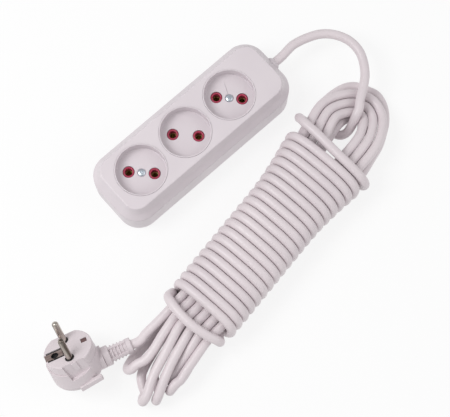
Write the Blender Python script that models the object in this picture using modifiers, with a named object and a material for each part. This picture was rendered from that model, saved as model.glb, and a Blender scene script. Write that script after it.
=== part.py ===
"""Three-socket extension cord, its long flexible cord wound up into a hank, and its angled plug.

Metres, +Z up.  The socket block lies along X with its cord end at +X.  The origin is the middle
of the underside of the block with its grommet; the hank and the plug lie on the same surface.
"""

from math import acos, ceil, copysign, cos, floor, pi, radians, sin

import bmesh
import bpy
import numpy as np
from mathutils import Matrix, Vector

# ---------------------------------------------------------------- socket block
BLOCK_HEIGHT = 0.036
FAR_END_ROOM = 0.0128         # from the last well to the block's plain end
CORD_END_ROOM = 0.0246        # from the first well to the cord end, for the clamp and the wires
SEAM_Z = 0.0234               # height of the parting line between base and cover
CREASE_DROP = 0.0070          # the upper flank ends in a soft crease this far below the top
TOP_INSET = 0.0058            # top face lies this far inside the seam outline
CREASE_INSET = 0.0036
FOOT_INSET = 0.0003           # the base draws in a little towards the underside
EDGE_ROUND = 0.0010           # rounding of the top edge
SEAM_CORNER_R = 0.0168        # plan corner radius at the seam
WALL = 0.0022
FLOOR_T = 0.0020
SEAM_GAP = 0.0003
SEAM_CHAMFER = 0.0004         # each half's edge is broken, which draws the parting groove
PLAN_STEPS = 6                # facets in each plan corner

# ---------------------------------------------------------------- sockets
SOCKET_COUNT = 3
WELL_R = 0.0186
WELL_SPACING = 0.0055         # between the edges of neighbouring wells
WELL_DEPTH = 0.0084
WELL_FLOOR_T = 0.0018
WELL_WALL = 0.0016
LIP_WIDTH = 0.0009            # thin raised ring round each well
LIP_RISE = 0.0004
CUP_CLEARANCE = 0.0004        # between the cups and the flanks of the cover
PIN_SPACING = 0.0190
PIN_LINE_ANGLE = radians(-45)  # direction of the pair of holes, from +X
COLLAR_R = 0.00415
COLLAR_RECESS = 0.0003
PIN_HOLE_R = 0.00275
CARRIER_LENGTH = 0.0310
CARRIER_WIDTH = 0.0130
CARRIER_T = 0.0045
SCREW_HOLE_CLEARANCE = 0.0003
FIT = 0.0003                  # gap between neighbouring pieces

# ---------------------------------------------------------------- current-carrying parts
CONTACT_R = 0.0031            # outer radius of a contact tube
CONTACT_BORE_R = 0.0024
STRIP_WIDTH = 0.0068
STRIP_T = 0.0008
STRIP_Z = 0.0070              # underside of the brass strips
STRIP_OVERHANG = 0.0060       # strip beyond its last tube
WIRE_R = 0.0014
TERMINAL_HEAD_R = 0.0026
TERMINAL_HEAD_H = 0.0016

# ---------------------------------------------------------------- screws
COVER_HEAD_R = 0.00295
SCREW_SEAT_R = 0.0038         # part of a well's floor that a cover screw's head lies on
SCREW_SEAT_DIP = 0.0002       # how far that part is dished
COVER_HEAD_H = 0.0014
COVER_SHANK_R = 0.0014
COVER_POST_R = 0.0027
COVER_SCREW_LENGTH = 0.0140
CLAMP_SCREW_SPACING = 0.0170
CLAMP_POST_R = 0.0030
CLAMP_SHANK_R = 0.0012
CLAMP_HEAD_R = 0.0024
CLAMP_HEAD_H = 0.0015

# ---------------------------------------------------------------- cord outlet
CORD_Z = 0.0200               # height of the cord's axis where it leaves the block
GROMMET_R = 0.0055
GROMMET_STEP_R = 0.0047
GROMMET_PROUD = 0.0022
GROMMET_STEP = 0.0009         # length of the smaller outer step
GROMMET_FLANGE_R = 0.0068     # inner flange that the wall traps
GROMMET_FLANGE_T = 0.0015
GROMMET_BORE_CLEARANCE = 0.0003
CLAMP_X_FROM_END = 0.0150     # clamp's middle, from the cord end's outer face
CLAMP_WIDTH = 0.0080
CLAMP_T = 0.0022
CLAMP_SADDLE_WIDTH = 0.0100

# ---------------------------------------------------------------- cord
CORD_R = 0.00315              # solid radius of the cord
JOINT_GAP = 0.0003            # face to face gap between cord pieces

# hank frame: s runs along the hank towards its bottom end, l across it, z up
HANK_ORIGIN = (0.05385, -0.08184)
HANK_HEADING = radians(-170.65)

# the wraps: a flattened ring that advances along s, drawn in from the eye end
WRAPS = 20
WRAP_POINTS = 23
WRAP_PITCH = 7.167            # mm, and so are all the cord's points in the hank frame
TOP_ADVANCE = 2.2             # part of the pitch made over the top, the rest underneath
RING_Z = 17.45
RING_HALF_HEIGHT = 13.9
RING_SQUARENESS = 3.0
RING_HALF_WIDTH = ((-8, 31.8), (0, 31.2), (8, 30.1), (14, 29.0), (21, 27.9), (29, 26.9),
                   (36, 26.1), (43, 25.6), (55, 25.3), (150, 25.3))
RING_LEAN = ((0, 2.8), (60, 2.1), (140, 1.5))   # the top of a wrap leans back towards the eye

# twelve strands run through the wraps in two rows of six
STRAND_STEP = 7.1
ROW_OFFSET = 3.55
ROW_CROWN = 2.4
STRAND_STATIONS = (2, 14, 26, 40, 60, 90, 120, 134, 139)
THROAT_SPREAD = ((0, 4.4), (14, 2.2), (28, 0.7), (42, 0))
JOINT_S = 127                 # the loops' node meets its neighbours here, on a straight run

# eye: base loop of each layer, from the right of the throat round to the left
EYE_TOP = ((-12, 22.5, 22), (-30, 22.6, 20.5), (-41, 21, 18.2), (-51, 17, 15), (-58.5, 12, 12.3),
           (-63.5, 5.5, 10.8), (-65.8, -2, 10.4), (-64.8, -9, 10.6), (-61.5, -15.5, 11.4),
           (-56, -21, 13.2), (-48, -26, 15.8), (-38, -29, 19), (-28.4, -28.5, 20.8),
           (-12, -24.5, 22))
EYE_LOW = ((-12, 26, 13.6), (-30, 24, 11.2), (-41, 22.2, 8.4), (-51, 18.4, 5.2), (-59, 14.7, 3.9),
           (-66.3, 8.9, 3.6), (-70.5, 3.3, 3.6), (-72.9, -3.9, 3.6), (-71.3, -11.5, 3.6),
           (-68.3, -20.3, 3.6), (-63.9, -24.9, 3.7), (-58.8, -27.4, 4.3), (-49.6, -29.6, 6),
           (-38.1, -30, 10), (-28.4, -29, 12), (-12, -27, 13.6))
EYE_INNER = ((-12, 7.6, 13), (-30, 7.2, 11.4), (-38, 6.4, 8.6), (-44, 4.4, 5.6), (-48.5, 1, 4),
             (-49.8, -2.6, 3.6), (-48.6, -6, 3.9), (-44.5, -9.2, 5.4), (-38.5, -10.8, 8.4),
             (-30, -10.8, 11.2), (-12, -8.6, 13))
TOP_INSET_STEP = 7.2
LOW_INSET_STEP = 8.6

# bottom turns stand on edge, each from a low strand out to its tip and back along a top one:
# low stations, (tip s, low l, top l, slope of l), height between the strands, top stations
TURN_HEIGHT = 12.4
FLOOR_Z = 3.6
BOTTOM_1 = (((149, -18, 13), (163, -19.1, 8.2), (176, -18.4, 4.4), (188, -18.4, 3.6), (196, -18.9, 3.6)),
            (204.4, -18.6, -12.4, 0.0), TURN_HEIGHT,
            ((191.4, -9.3, 18.3), (183.5, -9.2, 19.5), (171.7, -10.7, 20.8), (160, -11.8, 21.6),
             (150, -12.2, 21.8)))
BOTTOM_2 = (((150, -11.5, 9.9), (163, -12, 7.5), (176, -11.3, 4.4), (187, -9.8, 3.6), (195, -8.4, 3.6),
             (201.5, -6, 3.6), (206.5, -0.8, 3.6)),
            (215.4, 3.6, 6.8, 0.3), TURN_HEIGHT,
            ((200, 3.2, 18), (191, 1, 19.6), (180, -1, 21.2), (170.4, -3.1, 22.3), (158, -5.3, 23),
             (150, -4.9, 23.2)))
BOTTOM_3 = (((150, -4.4, 9.2), (163, -4.75, 7.2), (176, -3.7, 4.2), (188, -2, 3.6), (196, 1.2, 3.6)),
            (208.8, 11.2, 12.8, 0.35), TURN_HEIGHT,
            ((194, 10, 18.7), (186, 7.8, 19.8), (177, 5.8, 21.1), (167, 4, 22), (157, 2.6, 22.8),
             (150, 2.3, 23)))
BOTTOM_4 = (((150, 2.8, 9.2), (163, 3.6, 7.2), (176, 5.6, 4.2)),
            (193, 7.2, 12.2, 0.0), 7.8,
            ((184.5, 12, 12.2), (178, 11.5, 14.2), (171.5, 10.8, 16.5), (164.7, 10.2, 18.8),
             (157, 9.6, 20.8), (150, 9.5, 21.5)))
BOTTOM_5 = (((150, 9.9, 9.9), (161, 12, 7.8), (171, 15.4, 4.6), (182, 17.6, 3.6)),
            (197.4, 16.9, 17.9, 0), TURN_HEIGHT,
            ((187, 19, 16.2), (180, 18.2, 17.3), (168, 17.3, 18.4), (158, 16.5, 19.2), (150, 16.4, 19.6)))

# the lead: out of the block, over the eye, down through it and back under to the first wrap
LEAD_WORLD = ((0.1026, 0.0009, 0.020), (0.1239, -0.0075, 0.020), (0.1339, -0.0222, 0.020),
              (0.1341, -0.0366, 0.020), (0.1256, -0.0512, 0.020), (0.1168, -0.0584, 0.020),
              (0.1085, -0.0640, 0.020))
LEAD_DOWN = ((-51.5, -5.4, 19.4), (-47.5, -4.3, 18.2), (-43.2, -3.3, 14.2), (-39.3, -2.7, 9),
             (-35, -3, 5.2), (-31.2, -5.4, 3.7), (-29.3, -9.4, 3.6))
CROSS_END = (-25, -22.2, 3.6)  # end of the straight run that crosses under the hank
FIRST_WRAP = ((-23.2, -28, 4.7), (-21.8, -33.3, 7), (-20.3, -35.6, 12), (-18.5, -35.8, 18),
              (-17, -34, 24), (-15.2, -28.8, 29), (-13.2, -13, 31.3), (-11.2, 2.5, 31.4),
              (-9.7, 17.5, 30.6), (-8.8, 28.8, 26.4), (-9, 33, 18), (-9, 32, 10),
              (-8.8, 26.5, 5.2), (-8.8, 12, 3.6), (-8.6, -12, 3.6), (-8, -25, 4.8),
              (-6.4, -31.6, 8.6))
LAST_WRAP = ((146.5, -25.2, 22.5), (149, -21, 27.6), (151.5, -12, 30.2), (153, 2, 30.5),
             (151.8, 14.5, 28.6), (149.4, 22.6, 24), (148.4, 24, 18.8), (146.2, 21.4, 14.6),
             (142.6, 18.3, 13.7))
TAIL = ((147, -18.6, 20.2), (157, -19, 18.8), (168, -20.2, 17.3), (177, -21.3, 16.2))

# ---------------------------------------------------------------- plug
PLUG_LOCATION = (-0.1740, -0.0629, 0.0310)      # middle of the plug's face
PLUG_CORD_AXIS = (0.953, -0.298, 0.046)         # the way the cord leaves
PLUG_FACE_NORMAL = (0.149, 0.598, 0.788)        # the way the pins point
FACE_R = 0.0188
FACE_FLAT = 0.0150            # half distance between the face's two flats
FACE_T = 0.0080
BODY_R = 0.0193
BODY_DEPTH = 0.0270
BODY_ROUND = 0.0060
PIN_R = 0.0024
PIN_LENGTH = 0.0190
PIN_ROOT = 0.0060             # part of the pin held in the insert
PIN_RECESS_R = 0.0034
PIN_RECESS_DEPTH = 0.0010
EARTH_OFFSET = 0.0100         # earth hole from the middle, away from the cord
EARTH_HOLE_R = 0.0024
CLIP_WIDTH = 0.0050
CLIP_T = 0.0008
CLIP_LEG = 0.0070
SLOT_DEPTH = 0.0015
MARK_OFFSET = 0.0132
MARK_SIZE = 0.0034
NECK_WIDTH = 0.0170
NECK_HEIGHT = 0.0110
RELIEF_DEPTH = 0.0219         # cord axis below the face
RELIEF_START = 0.0205
RELIEF_END = 0.0424
RELIEF_COLLAR_R = 0.0075
RELIEF_COLLAR_LENGTH = 0.0050
RELIEF_RIBS = 5
RELIEF_RIB_R = 0.0062
RELIEF_CORE_R = 0.0048
RELIEF_END_R = 0.0053
RELIEF_END_LENGTH = 0.0030
GRIP_LENGTH = 0.0190
GRIP_SIZE = 0.0030
GRIP_DEPTH = 0.0225


# ================================================================ helpers
for old in list(bpy.data.objects):
    bpy.data.objects.remove(old, do_unlink=True)

PARTS = bpy.data.collections.new("extension_cord")
CUTTERS = bpy.data.collections.new("cutters")
bpy.context.scene.collection.children.link(PARTS)
bpy.context.scene.collection.children.link(CUTTERS)

Z = Vector((0, 0, 1))
X = Vector((1, 0, 0))


def material(name, colour, roughness=0.45, metallic=0.0):
    """Principled material of one plain colour."""
    mat = bpy.data.materials.new(name)
    mat.use_nodes = True
    shader = mat.node_tree.nodes["Principled BSDF"]
    shader.inputs["Base Color"].default_value = (*colour, 1)
    shader.inputs["Roughness"].default_value = roughness
    shader.inputs["Metallic"].default_value = metallic
    return mat


SHELL_WHITE = material("shell_white", (0.66, 0.62, 0.65), 0.4)
CORD_WHITE = material("cord_white", (0.68, 0.63, 0.65), 0.45)
CARRIER_RED = material("carrier_red", (0.36, 0.05, 0.10), 0.45)
BRASS = material("brass", (0.72, 0.55, 0.25), 0.3, 1.0)
ZINC = material("zinc", (0.62, 0.66, 0.70), 0.3, 1.0)
NICKEL = material("nickel", (0.65, 0.63, 0.60), 0.25, 1.0)
WIRE_BROWN = material("wire_brown", (0.16, 0.06, 0.03), 0.5)
WIRE_BLUE = material("wire_blue", (0.04, 0.12, 0.40), 0.5)


def add(name, bm, mat, place=Matrix(), smooth=True):
    """Turn a bmesh into an object of the part."""
    mesh = bpy.data.meshes.new(name)
    bmesh.ops.recalc_face_normals(bm, faces=bm.faces)
    bm.to_mesh(mesh)
    bm.free()
    if smooth:
        mesh.shade_smooth()
        mesh.set_sharp_from_angle(angle=radians(35))
    obj = bpy.data.objects.new(name, mesh)
    obj.matrix_world = place
    if mat:
        mesh.materials.append(mat)
    (PARTS if mat else CUTTERS).objects.link(obj)
    if not mat:
        obj.hide_render = True
        obj.display_type = "WIRE"
    return obj


def cylinder(bm, radius, low, high, x=0.0, y=0.0, sides=32, top_radius=None):
    """Upright cylinder or cone from height low to high."""
    middle = Matrix.Translation((x, y, (low + high) / 2))
    bmesh.ops.create_cone(bm, cap_ends=True, segments=sides, radius1=radius,
                          radius2=radius if top_radius is None else top_radius,
                          depth=high - low, matrix=middle)


def block(bm, size, middle, turn=0.0):
    """Box of the given size, turned about Z."""
    place = Matrix.Translation(middle) @ Matrix.Rotation(turn, 4, "Z") @ Matrix.Diagonal((*size, 1))
    bmesh.ops.create_cube(bm, size=1.0, matrix=place)


def boolean(obj, other, operation="DIFFERENCE"):
    mod = obj.modifiers.new(operation.lower() + "_" + other.name, "BOOLEAN")
    mod.object = other
    mod.operation = operation
    mod.solver = "EXACT"


def bevel(obj, width, segments=2, angle=40):
    mod = obj.modifiers.new("bevel", "BEVEL")
    mod.width = width
    mod.segments = segments
    mod.limit_method = "ANGLE"
    mod.angle_limit = radians(angle)


def turned(name, profile, mat, place, steps=32):
    """Solid turned about its local Z from (radius, height) points that run down the outside."""
    closed = profile[0] == profile[-1]
    count = len(profile) - closed
    edges = [(i, (i + 1) % count) for i in range(count - (not closed))]
    mesh = bpy.data.meshes.new(name)
    mesh.from_pydata([(r, 0, z) for r, z in profile[:count]], edges, [])
    obj = bpy.data.objects.new(name, mesh)
    obj.matrix_world = place
    (PARTS if mat else CUTTERS).objects.link(obj)
    if mat:
        mesh.materials.append(mat)
    else:
        obj.hide_render = True
        obj.display_type = "WIRE"
    screw = obj.modifiers.new("turn", "SCREW")
    screw.steps = steps
    screw.render_steps = steps
    screw.use_merge_vertices = True
    screw.merge_threshold = 0.00001
    return obj


# ================================================================ socket block
SOCKET_PITCH = 2 * WELL_R + WELL_SPACING                                        # 42.7 mm
BLOCK_LENGTH = FAR_END_ROOM + CORD_END_ROOM + SOCKET_COUNT * SOCKET_PITCH - WELL_SPACING   # 160 mm
BLOCK_WIDTH = 2 * (WELL_R + WELL_WALL + CUP_CLEARANCE + WALL + TOP_INSET)       # 57.2 mm at the seam
BLOCK_X = -GROMMET_PROUD / 2          # middle of the block: the grommet stands proud at +X
BLOCK_END_X = BLOCK_X + BLOCK_LENGTH / 2
SOCKET_X = [BLOCK_END_X - CORD_END_ROOM - WELL_R - SOCKET_PITCH * i for i in range(SOCKET_COUNT)]
SCREWED = [SOCKET_X[0], SOCKET_X[-1]]
PIN_DX = PIN_SPACING / 2 * cos(PIN_LINE_ANGLE)
PIN_DY = PIN_SPACING / 2 * sin(PIN_LINE_ANGLE)
WELL_FLOOR_Z = BLOCK_HEIGHT - WELL_DEPTH
CARRIER_TOP_Z = WELL_FLOOR_Z - WELL_FLOOR_T - FIT
CARRIER_LOW_Z = CARRIER_TOP_Z - CARRIER_T
STRIP_TOP_Z = STRIP_Z + STRIP_T
CORD_FIT = CORD_R + GROMMET_BORE_CLEARANCE
CLAMP_X = BLOCK_END_X - CLAMP_X_FROM_END
CLAMP_Z = CORD_Z + CORD_FIT
CORD_START_X = CLAMP_X - CLAMP_WIDTH / 2 - 2 * FIT
TERMINAL_X = SOCKET_X[0] + PIN_DX + CONTACT_R + TERMINAL_HEAD_R + FIT
WIRE_X = TERMINAL_X + TERMINAL_HEAD_R + WIRE_R + FIT
STRIP_END_X = WIRE_X + WIRE_R


def plan_ring(bm, z, inset):
    """Rounded rectangle of the block's plan, drawn in by inset, at height z."""
    radius = SEAM_CORNER_R - inset
    half_x, half_y = BLOCK_LENGTH / 2 - inset, BLOCK_WIDTH / 2 - inset
    ring = []
    for quarter, (sx, sy) in enumerate(((1, 1), (-1, 1), (-1, -1), (1, -1))):
        for i in range(PLAN_STEPS + 1):
            a = (quarter + i / PLAN_STEPS) * pi / 2
            ring.append(bm.verts.new((BLOCK_X + sx * (half_x - radius) + radius * cos(a),
                                      sy * (half_y - radius) + radius * sin(a), z)))
    return ring


def loft(name, levels, mat):
    """Closed body through plan rings given as (height, inset), capped at both ends."""
    bm = bmesh.new()
    rings = [plan_ring(bm, z, inset) for z, inset in levels]
    for low, high in zip(rings, rings[1:]):
        for i in range(len(low)):
            j = (i + 1) % len(low)
            bm.faces.new((low[i], low[j], high[j], high[i]))
    bm.faces.new(rings[0])
    bm.faces.new(rings[-1])
    return add(name, bm, mat)


def base():
    rim_z = SEAM_Z - SEAM_GAP / 2
    tray = loft("base", [(0, FOOT_INSET + 0.0008), (0.0008, FOOT_INSET), (rim_z - SEAM_CHAMFER, 0),
                         (rim_z, SEAM_CHAMFER), (rim_z, WALL), (FLOOR_T, WALL)], SHELL_WHITE)
    inner = bmesh.new()
    root = FLOOR_T / 2
    for x in SCREWED:
        cylinder(inner, COVER_POST_R, root, CARRIER_LOW_Z - FIT, x, 0, 16)
    for side in (-1, 1):
        for x in SOCKET_X:
            block(inner, (2 * CONTACT_R, STRIP_WIDTH, STRIP_Z - FIT - root),
                  (x - side * PIN_DX, -side * PIN_DY, (STRIP_Z - FIT + root) / 2))
        block(inner, (2 * TERMINAL_HEAD_R, STRIP_WIDTH, STRIP_Z - FIT - root),
              (TERMINAL_X, side * abs(PIN_DY), (STRIP_Z - FIT + root) / 2))
        cylinder(inner, CLAMP_POST_R, root, CLAMP_Z - FIT, CLAMP_X, side * CLAMP_SCREW_SPACING / 2, 16)
    saddle_top = CORD_Z - CORD_FIT
    block(inner, (CLAMP_WIDTH, CLAMP_SADDLE_WIDTH, saddle_top - root),
          (CLAMP_X, 0, (saddle_top + root) / 2))
    boolean(tray, add("base_posts", inner, None), "UNION")

    bores = bmesh.new()
    for x in SCREWED:
        cylinder(bores, COVER_SHANK_R + FIT, FLOOR_T, CARRIER_LOW_Z, x, 0, 12)
    for side in (-1, 1):
        cylinder(bores, CLAMP_SHANK_R + FIT, FLOOR_T, CLAMP_Z, CLAMP_X,
                 side * CLAMP_SCREW_SPACING / 2, 12)
        cylinder(bores, CLAMP_SHANK_R + FIT, FLOOR_T, STRIP_Z, TERMINAL_X, side * abs(PIN_DY), 12)
    boolean(tray, add("base_bores", bores, None))
    boolean(tray, GROMMET_CUTTER)
    return tray


def grommet_cutter():
    bm = bmesh.new()
    bmesh.ops.create_cone(bm, cap_ends=True, segments=32, radius1=GROMMET_R + FIT,
                          radius2=GROMMET_R + FIT, depth=4 * WALL,
                          matrix=Matrix.Translation((BLOCK_END_X - WALL, 0, CORD_Z))
                          @ Matrix.Rotation(pi / 2, 4, "Y"))
    return add("grommet_cutter", bm, None)


def top_cover():
    rim_z = SEAM_Z + SEAM_GAP / 2
    crease_z = BLOCK_HEIGHT - CREASE_DROP
    inner_top = BLOCK_HEIGHT - WALL
    cover = loft("top_cover", [(inner_top, TOP_INSET + WALL), (crease_z - WALL / 2, CREASE_INSET + WALL),
                               (rim_z, WALL), (rim_z, SEAM_CHAMFER), (rim_z + SEAM_CHAMFER, 0),
                               (crease_z, CREASE_INSET),
                               (BLOCK_HEIGHT - EDGE_ROUND, TOP_INSET - 0.0003),
                               (BLOCK_HEIGHT - EDGE_ROUND / 3, TOP_INSET + EDGE_ROUND / 3),
                               (BLOCK_HEIGHT, TOP_INSET + EDGE_ROUND)], SHELL_WHITE)
    mouths = bmesh.new()
    for x in SOCKET_X:
        cylinder(mouths, WELL_R + LIP_WIDTH + FIT, inner_top - WALL, BLOCK_HEIGHT + WALL, x, 0, 32)
    boolean(cover, add("cup_mouths", mouths, None))
    boolean(cover, GROMMET_CUTTER)
    return cover


def socket_cup(index, x):
    """Round well that fits the cover from below: its shoulder bears on the cover's underside."""
    shoulder_z = BLOCK_HEIGHT - WALL - FIT
    low = WELL_FLOOR_Z - WELL_FLOOR_T
    lip_top = BLOCK_HEIGHT + LIP_RISE
    cup = turned(f"socket_cup_{index}",
                 [(0, WELL_FLOOR_Z - SCREW_SEAT_DIP), (SCREW_SEAT_R, WELL_FLOOR_Z),
                  (WELL_R, WELL_FLOOR_Z),
                  (WELL_R, lip_top),
                  (WELL_R + LIP_WIDTH, lip_top), (WELL_R + LIP_WIDTH, shoulder_z),
                  (WELL_R + WELL_WALL, shoulder_z), (WELL_R + WELL_WALL, low), (0, low)],
                 SHELL_WHITE, Matrix.Translation((x, 0, 0)), 30)
    holes = bmesh.new()
    for side in (-1, 1):
        cylinder(holes, COLLAR_R + FIT, CARRIER_TOP_Z, WELL_FLOOR_Z + WALL,
                 x + side * PIN_DX, side * PIN_DY, 18)
    if x in SCREWED:
        cylinder(holes, COVER_SHANK_R + FIT, CARRIER_TOP_Z, WELL_FLOOR_Z + WALL, x, 0, 12)
    boolean(cup, add(f"cup_floor_holes_{index}", holes, None))
    return cup


def contact_carrier(index, x):
    """Red insert under a well: a bar along the pin line with a collar for each pin."""
    bm = bmesh.new()
    block(bm, (CARRIER_LENGTH, CARRIER_WIDTH, CARRIER_T),
          (x, 0, (CARRIER_TOP_Z + CARRIER_LOW_Z) / 2), PIN_LINE_ANGLE)
    carrier = add(f"contact_carrier_{index}", bm, CARRIER_RED)
    mouth_z = WELL_FLOOR_Z - COLLAR_RECESS
    collars, bores = bmesh.new(), bmesh.new()
    for side in (-1, 1):
        px, py = x + side * PIN_DX, side * PIN_DY
        cylinder(collars, COLLAR_R, CARRIER_TOP_Z - CARRIER_T / 2, mouth_z, px, py, 18)
        cylinder(bores, PIN_HOLE_R, CARRIER_LOW_Z - WALL, mouth_z + WALL, px, py, 18)
    cylinder(bores, COVER_SHANK_R + FIT, CARRIER_LOW_Z - WALL, mouth_z + WALL, x, 0, 16)
    boolean(carrier, add(f"collars_{index}", collars, None), "UNION")
    boolean(carrier, add(f"collar_bores_{index}", bores, None))
    return carrier


def busbar(index, side):
    """Brass strip with a contact tube under one pin hole of every socket."""
    y = side * abs(PIN_DY)
    tube_x = [x + (PIN_DX if side * PIN_DY > 0 else -PIN_DX) for x in SOCKET_X]
    start_x = min(tube_x) - CONTACT_R
    bm = bmesh.new()
    block(bm, (STRIP_END_X - start_x, STRIP_WIDTH, STRIP_T),
          ((STRIP_END_X + start_x) / 2, y, STRIP_Z + STRIP_T / 2))
    strip = add(f"busbar_{index}", bm, BRASS)
    tubes, bores = bmesh.new(), bmesh.new()
    for x in tube_x:
        cylinder(tubes, CONTACT_R, STRIP_Z + STRIP_T / 2, CARRIER_LOW_Z - FIT, x, y, 16)
        cylinder(bores, CONTACT_BORE_R, STRIP_TOP_Z, CARRIER_LOW_Z + FIT, x, y, 16)
    cylinder(bores, CLAMP_SHANK_R + FIT, STRIP_Z - FIT, STRIP_TOP_Z + FIT, TERMINAL_X, y, 16)
    boolean(strip, add(f"contact_tubes_{index}", tubes, None), "UNION")
    boolean(strip, add(f"contact_bores_{index}", bores, None))
    return strip


def screw(name, head_r, head_h, shank_r, length, place):
    """Pan-head screw whose seat is at its local origin, shank down local -Z."""
    return turned(name, [(0, head_h), (head_r * 0.72, head_h * 0.88), (head_r, head_h * 0.35),
                         (head_r, 0), (shank_r, 0), (shank_r, -length + shank_r),
                         (0, -length)], ZINC, Matrix.Translation(place), 12)


def cross_slot(obj, head_r, head_h, place):
    """Cross recess in the head of a screw."""
    for turn in (0, pi / 2):
        bm = bmesh.new()
        block(bm, (head_r * 1.15, head_r * 0.24, head_h), (0, 0, head_h), turn)
        boolean(obj, add(obj.name + f"_slot_{int(turn > 0)}", bm, None, Matrix.Translation(place)))


def curve_tube(name, points, radius, mat, resolution=2):
    """Tube of filled caps along the points."""
    curve = bpy.data.curves.new(name, "CURVE")
    curve.dimensions = "3D"
    curve.bevel_depth = radius
    curve.bevel_resolution = resolution
    curve.use_fill_caps = True
    spline = curve.splines.new("POLY")
    spline.points.add(len(points) - 1)
    for point, co in zip(spline.points, points):
        point.co = (*co, 1)
    curve.materials.append(mat)
    obj = bpy.data.objects.new(name, curve)
    PARTS.objects.link(obj)
    return obj


GROMMET_CUTTER = grommet_cutter()
base()
top_cover()
for i, socket_x in enumerate(SOCKET_X):
    socket_cup(i + 1, socket_x)
    contact_carrier(i + 1, socket_x)
busbar(1, -1)
busbar(2, 1)
for i, screw_x in enumerate(SCREWED):
    seat = (screw_x, 0, WELL_FLOOR_Z + FIT / 2)
    cover_screw = screw(f"cover_screw_{i + 1}", COVER_HEAD_R, COVER_HEAD_H, COVER_SHANK_R,
                        COVER_SCREW_LENGTH, seat)
    cross_slot(cover_screw, COVER_HEAD_R, COVER_HEAD_H, seat)


def cord_clamp():
    """Bar over the cord, held down by two screws."""
    bm = bmesh.new()
    low = CLAMP_Z
    block(bm, (CLAMP_WIDTH, CLAMP_SCREW_SPACING + 2 * CLAMP_POST_R, CLAMP_T),
          (CLAMP_X, 0, low + CLAMP_T / 2))
    bar = add("cord_clamp", bm, SHELL_WHITE)
    bores = bmesh.new()
    for side in (-1, 1):
        cylinder(bores, CLAMP_SHANK_R + FIT, low - FIT, low + CLAMP_T + FIT, CLAMP_X,
                 side * CLAMP_SCREW_SPACING / 2, 16)
    boolean(bar, add("clamp_bores", bores, None))
    for i, side in enumerate((-1, 1)):
        screw(f"clamp_screw_{i + 1}", CLAMP_HEAD_R, CLAMP_HEAD_H, CLAMP_SHANK_R, 0.0100,
              (CLAMP_X, side * CLAMP_SCREW_SPACING / 2, low + CLAMP_T + FIT))
        screw(f"terminal_screw_{i + 1}", TERMINAL_HEAD_R, TERMINAL_HEAD_H, CLAMP_SHANK_R, 0.0040,
              (TERMINAL_X, side * abs(PIN_DY), STRIP_TOP_Z + FIT))


def wires():
    """Both wires, from the cord's inner end down to the strips."""
    drop = abs(PIN_DY)
    for name, side, mat in (("wire_brown", -1, WIRE_BROWN), ("wire_blue", 1, WIRE_BLUE)):
        start_y = WIRE_R + FIT
        route = [(CORD_START_X - JOINT_GAP, start_y, CORD_Z),
                 (CORD_START_X - 0.0014, start_y, CORD_Z),
                 (WIRE_X + 0.0010, start_y + 0.0020, CORD_Z - 0.0012),
                 (WIRE_X, drop - 0.0008, CORD_Z - 0.0050), (WIRE_X, drop, CORD_Z - 0.0085),
                 (WIRE_X, drop, STRIP_TOP_Z + FIT)]
        curve_tube(name, [(x, side * y, z) for x, y, z in route], WIRE_R, mat)


def cord_grommet():
    """Stepped collar round the cord, turned about X."""
    proud_x = BLOCK_END_X + GROMMET_PROUD
    flange_x = CLAMP_X + CLAMP_WIDTH / 2 + 2 * FIT
    profile = [(CORD_FIT, 0), (GROMMET_STEP_R, 0), (GROMMET_STEP_R, -GROMMET_STEP),
               (GROMMET_R, -GROMMET_STEP), (GROMMET_R, flange_x + GROMMET_FLANGE_T - proud_x),
               (GROMMET_FLANGE_R, flange_x + GROMMET_FLANGE_T - proud_x),
               (GROMMET_FLANGE_R, flange_x - proud_x), (CORD_FIT, flange_x - proud_x), (CORD_FIT, 0)]
    place = Matrix.Translation((proud_x, 0, CORD_Z)) @ Matrix.Rotation(pi / 2, 4, "Y")
    return turned("cord_grommet", profile, SHELL_WHITE, place, 20)


cord_clamp()
wires()
cord_grommet()


# ================================================================ plug
def axes(normal, along):
    """Frame with local Z on normal and local X as near to along as square to it."""
    z = Vector(normal).normalized()
    x = Vector(along)
    x = (x - x.dot(z) * z).normalized()
    return Matrix((x, z.cross(x), z)).transposed().to_4x4()


PLUG = Matrix.Translation(PLUG_LOCATION) @ axes(PLUG_FACE_NORMAL, PLUG_CORD_AXIS)


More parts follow.
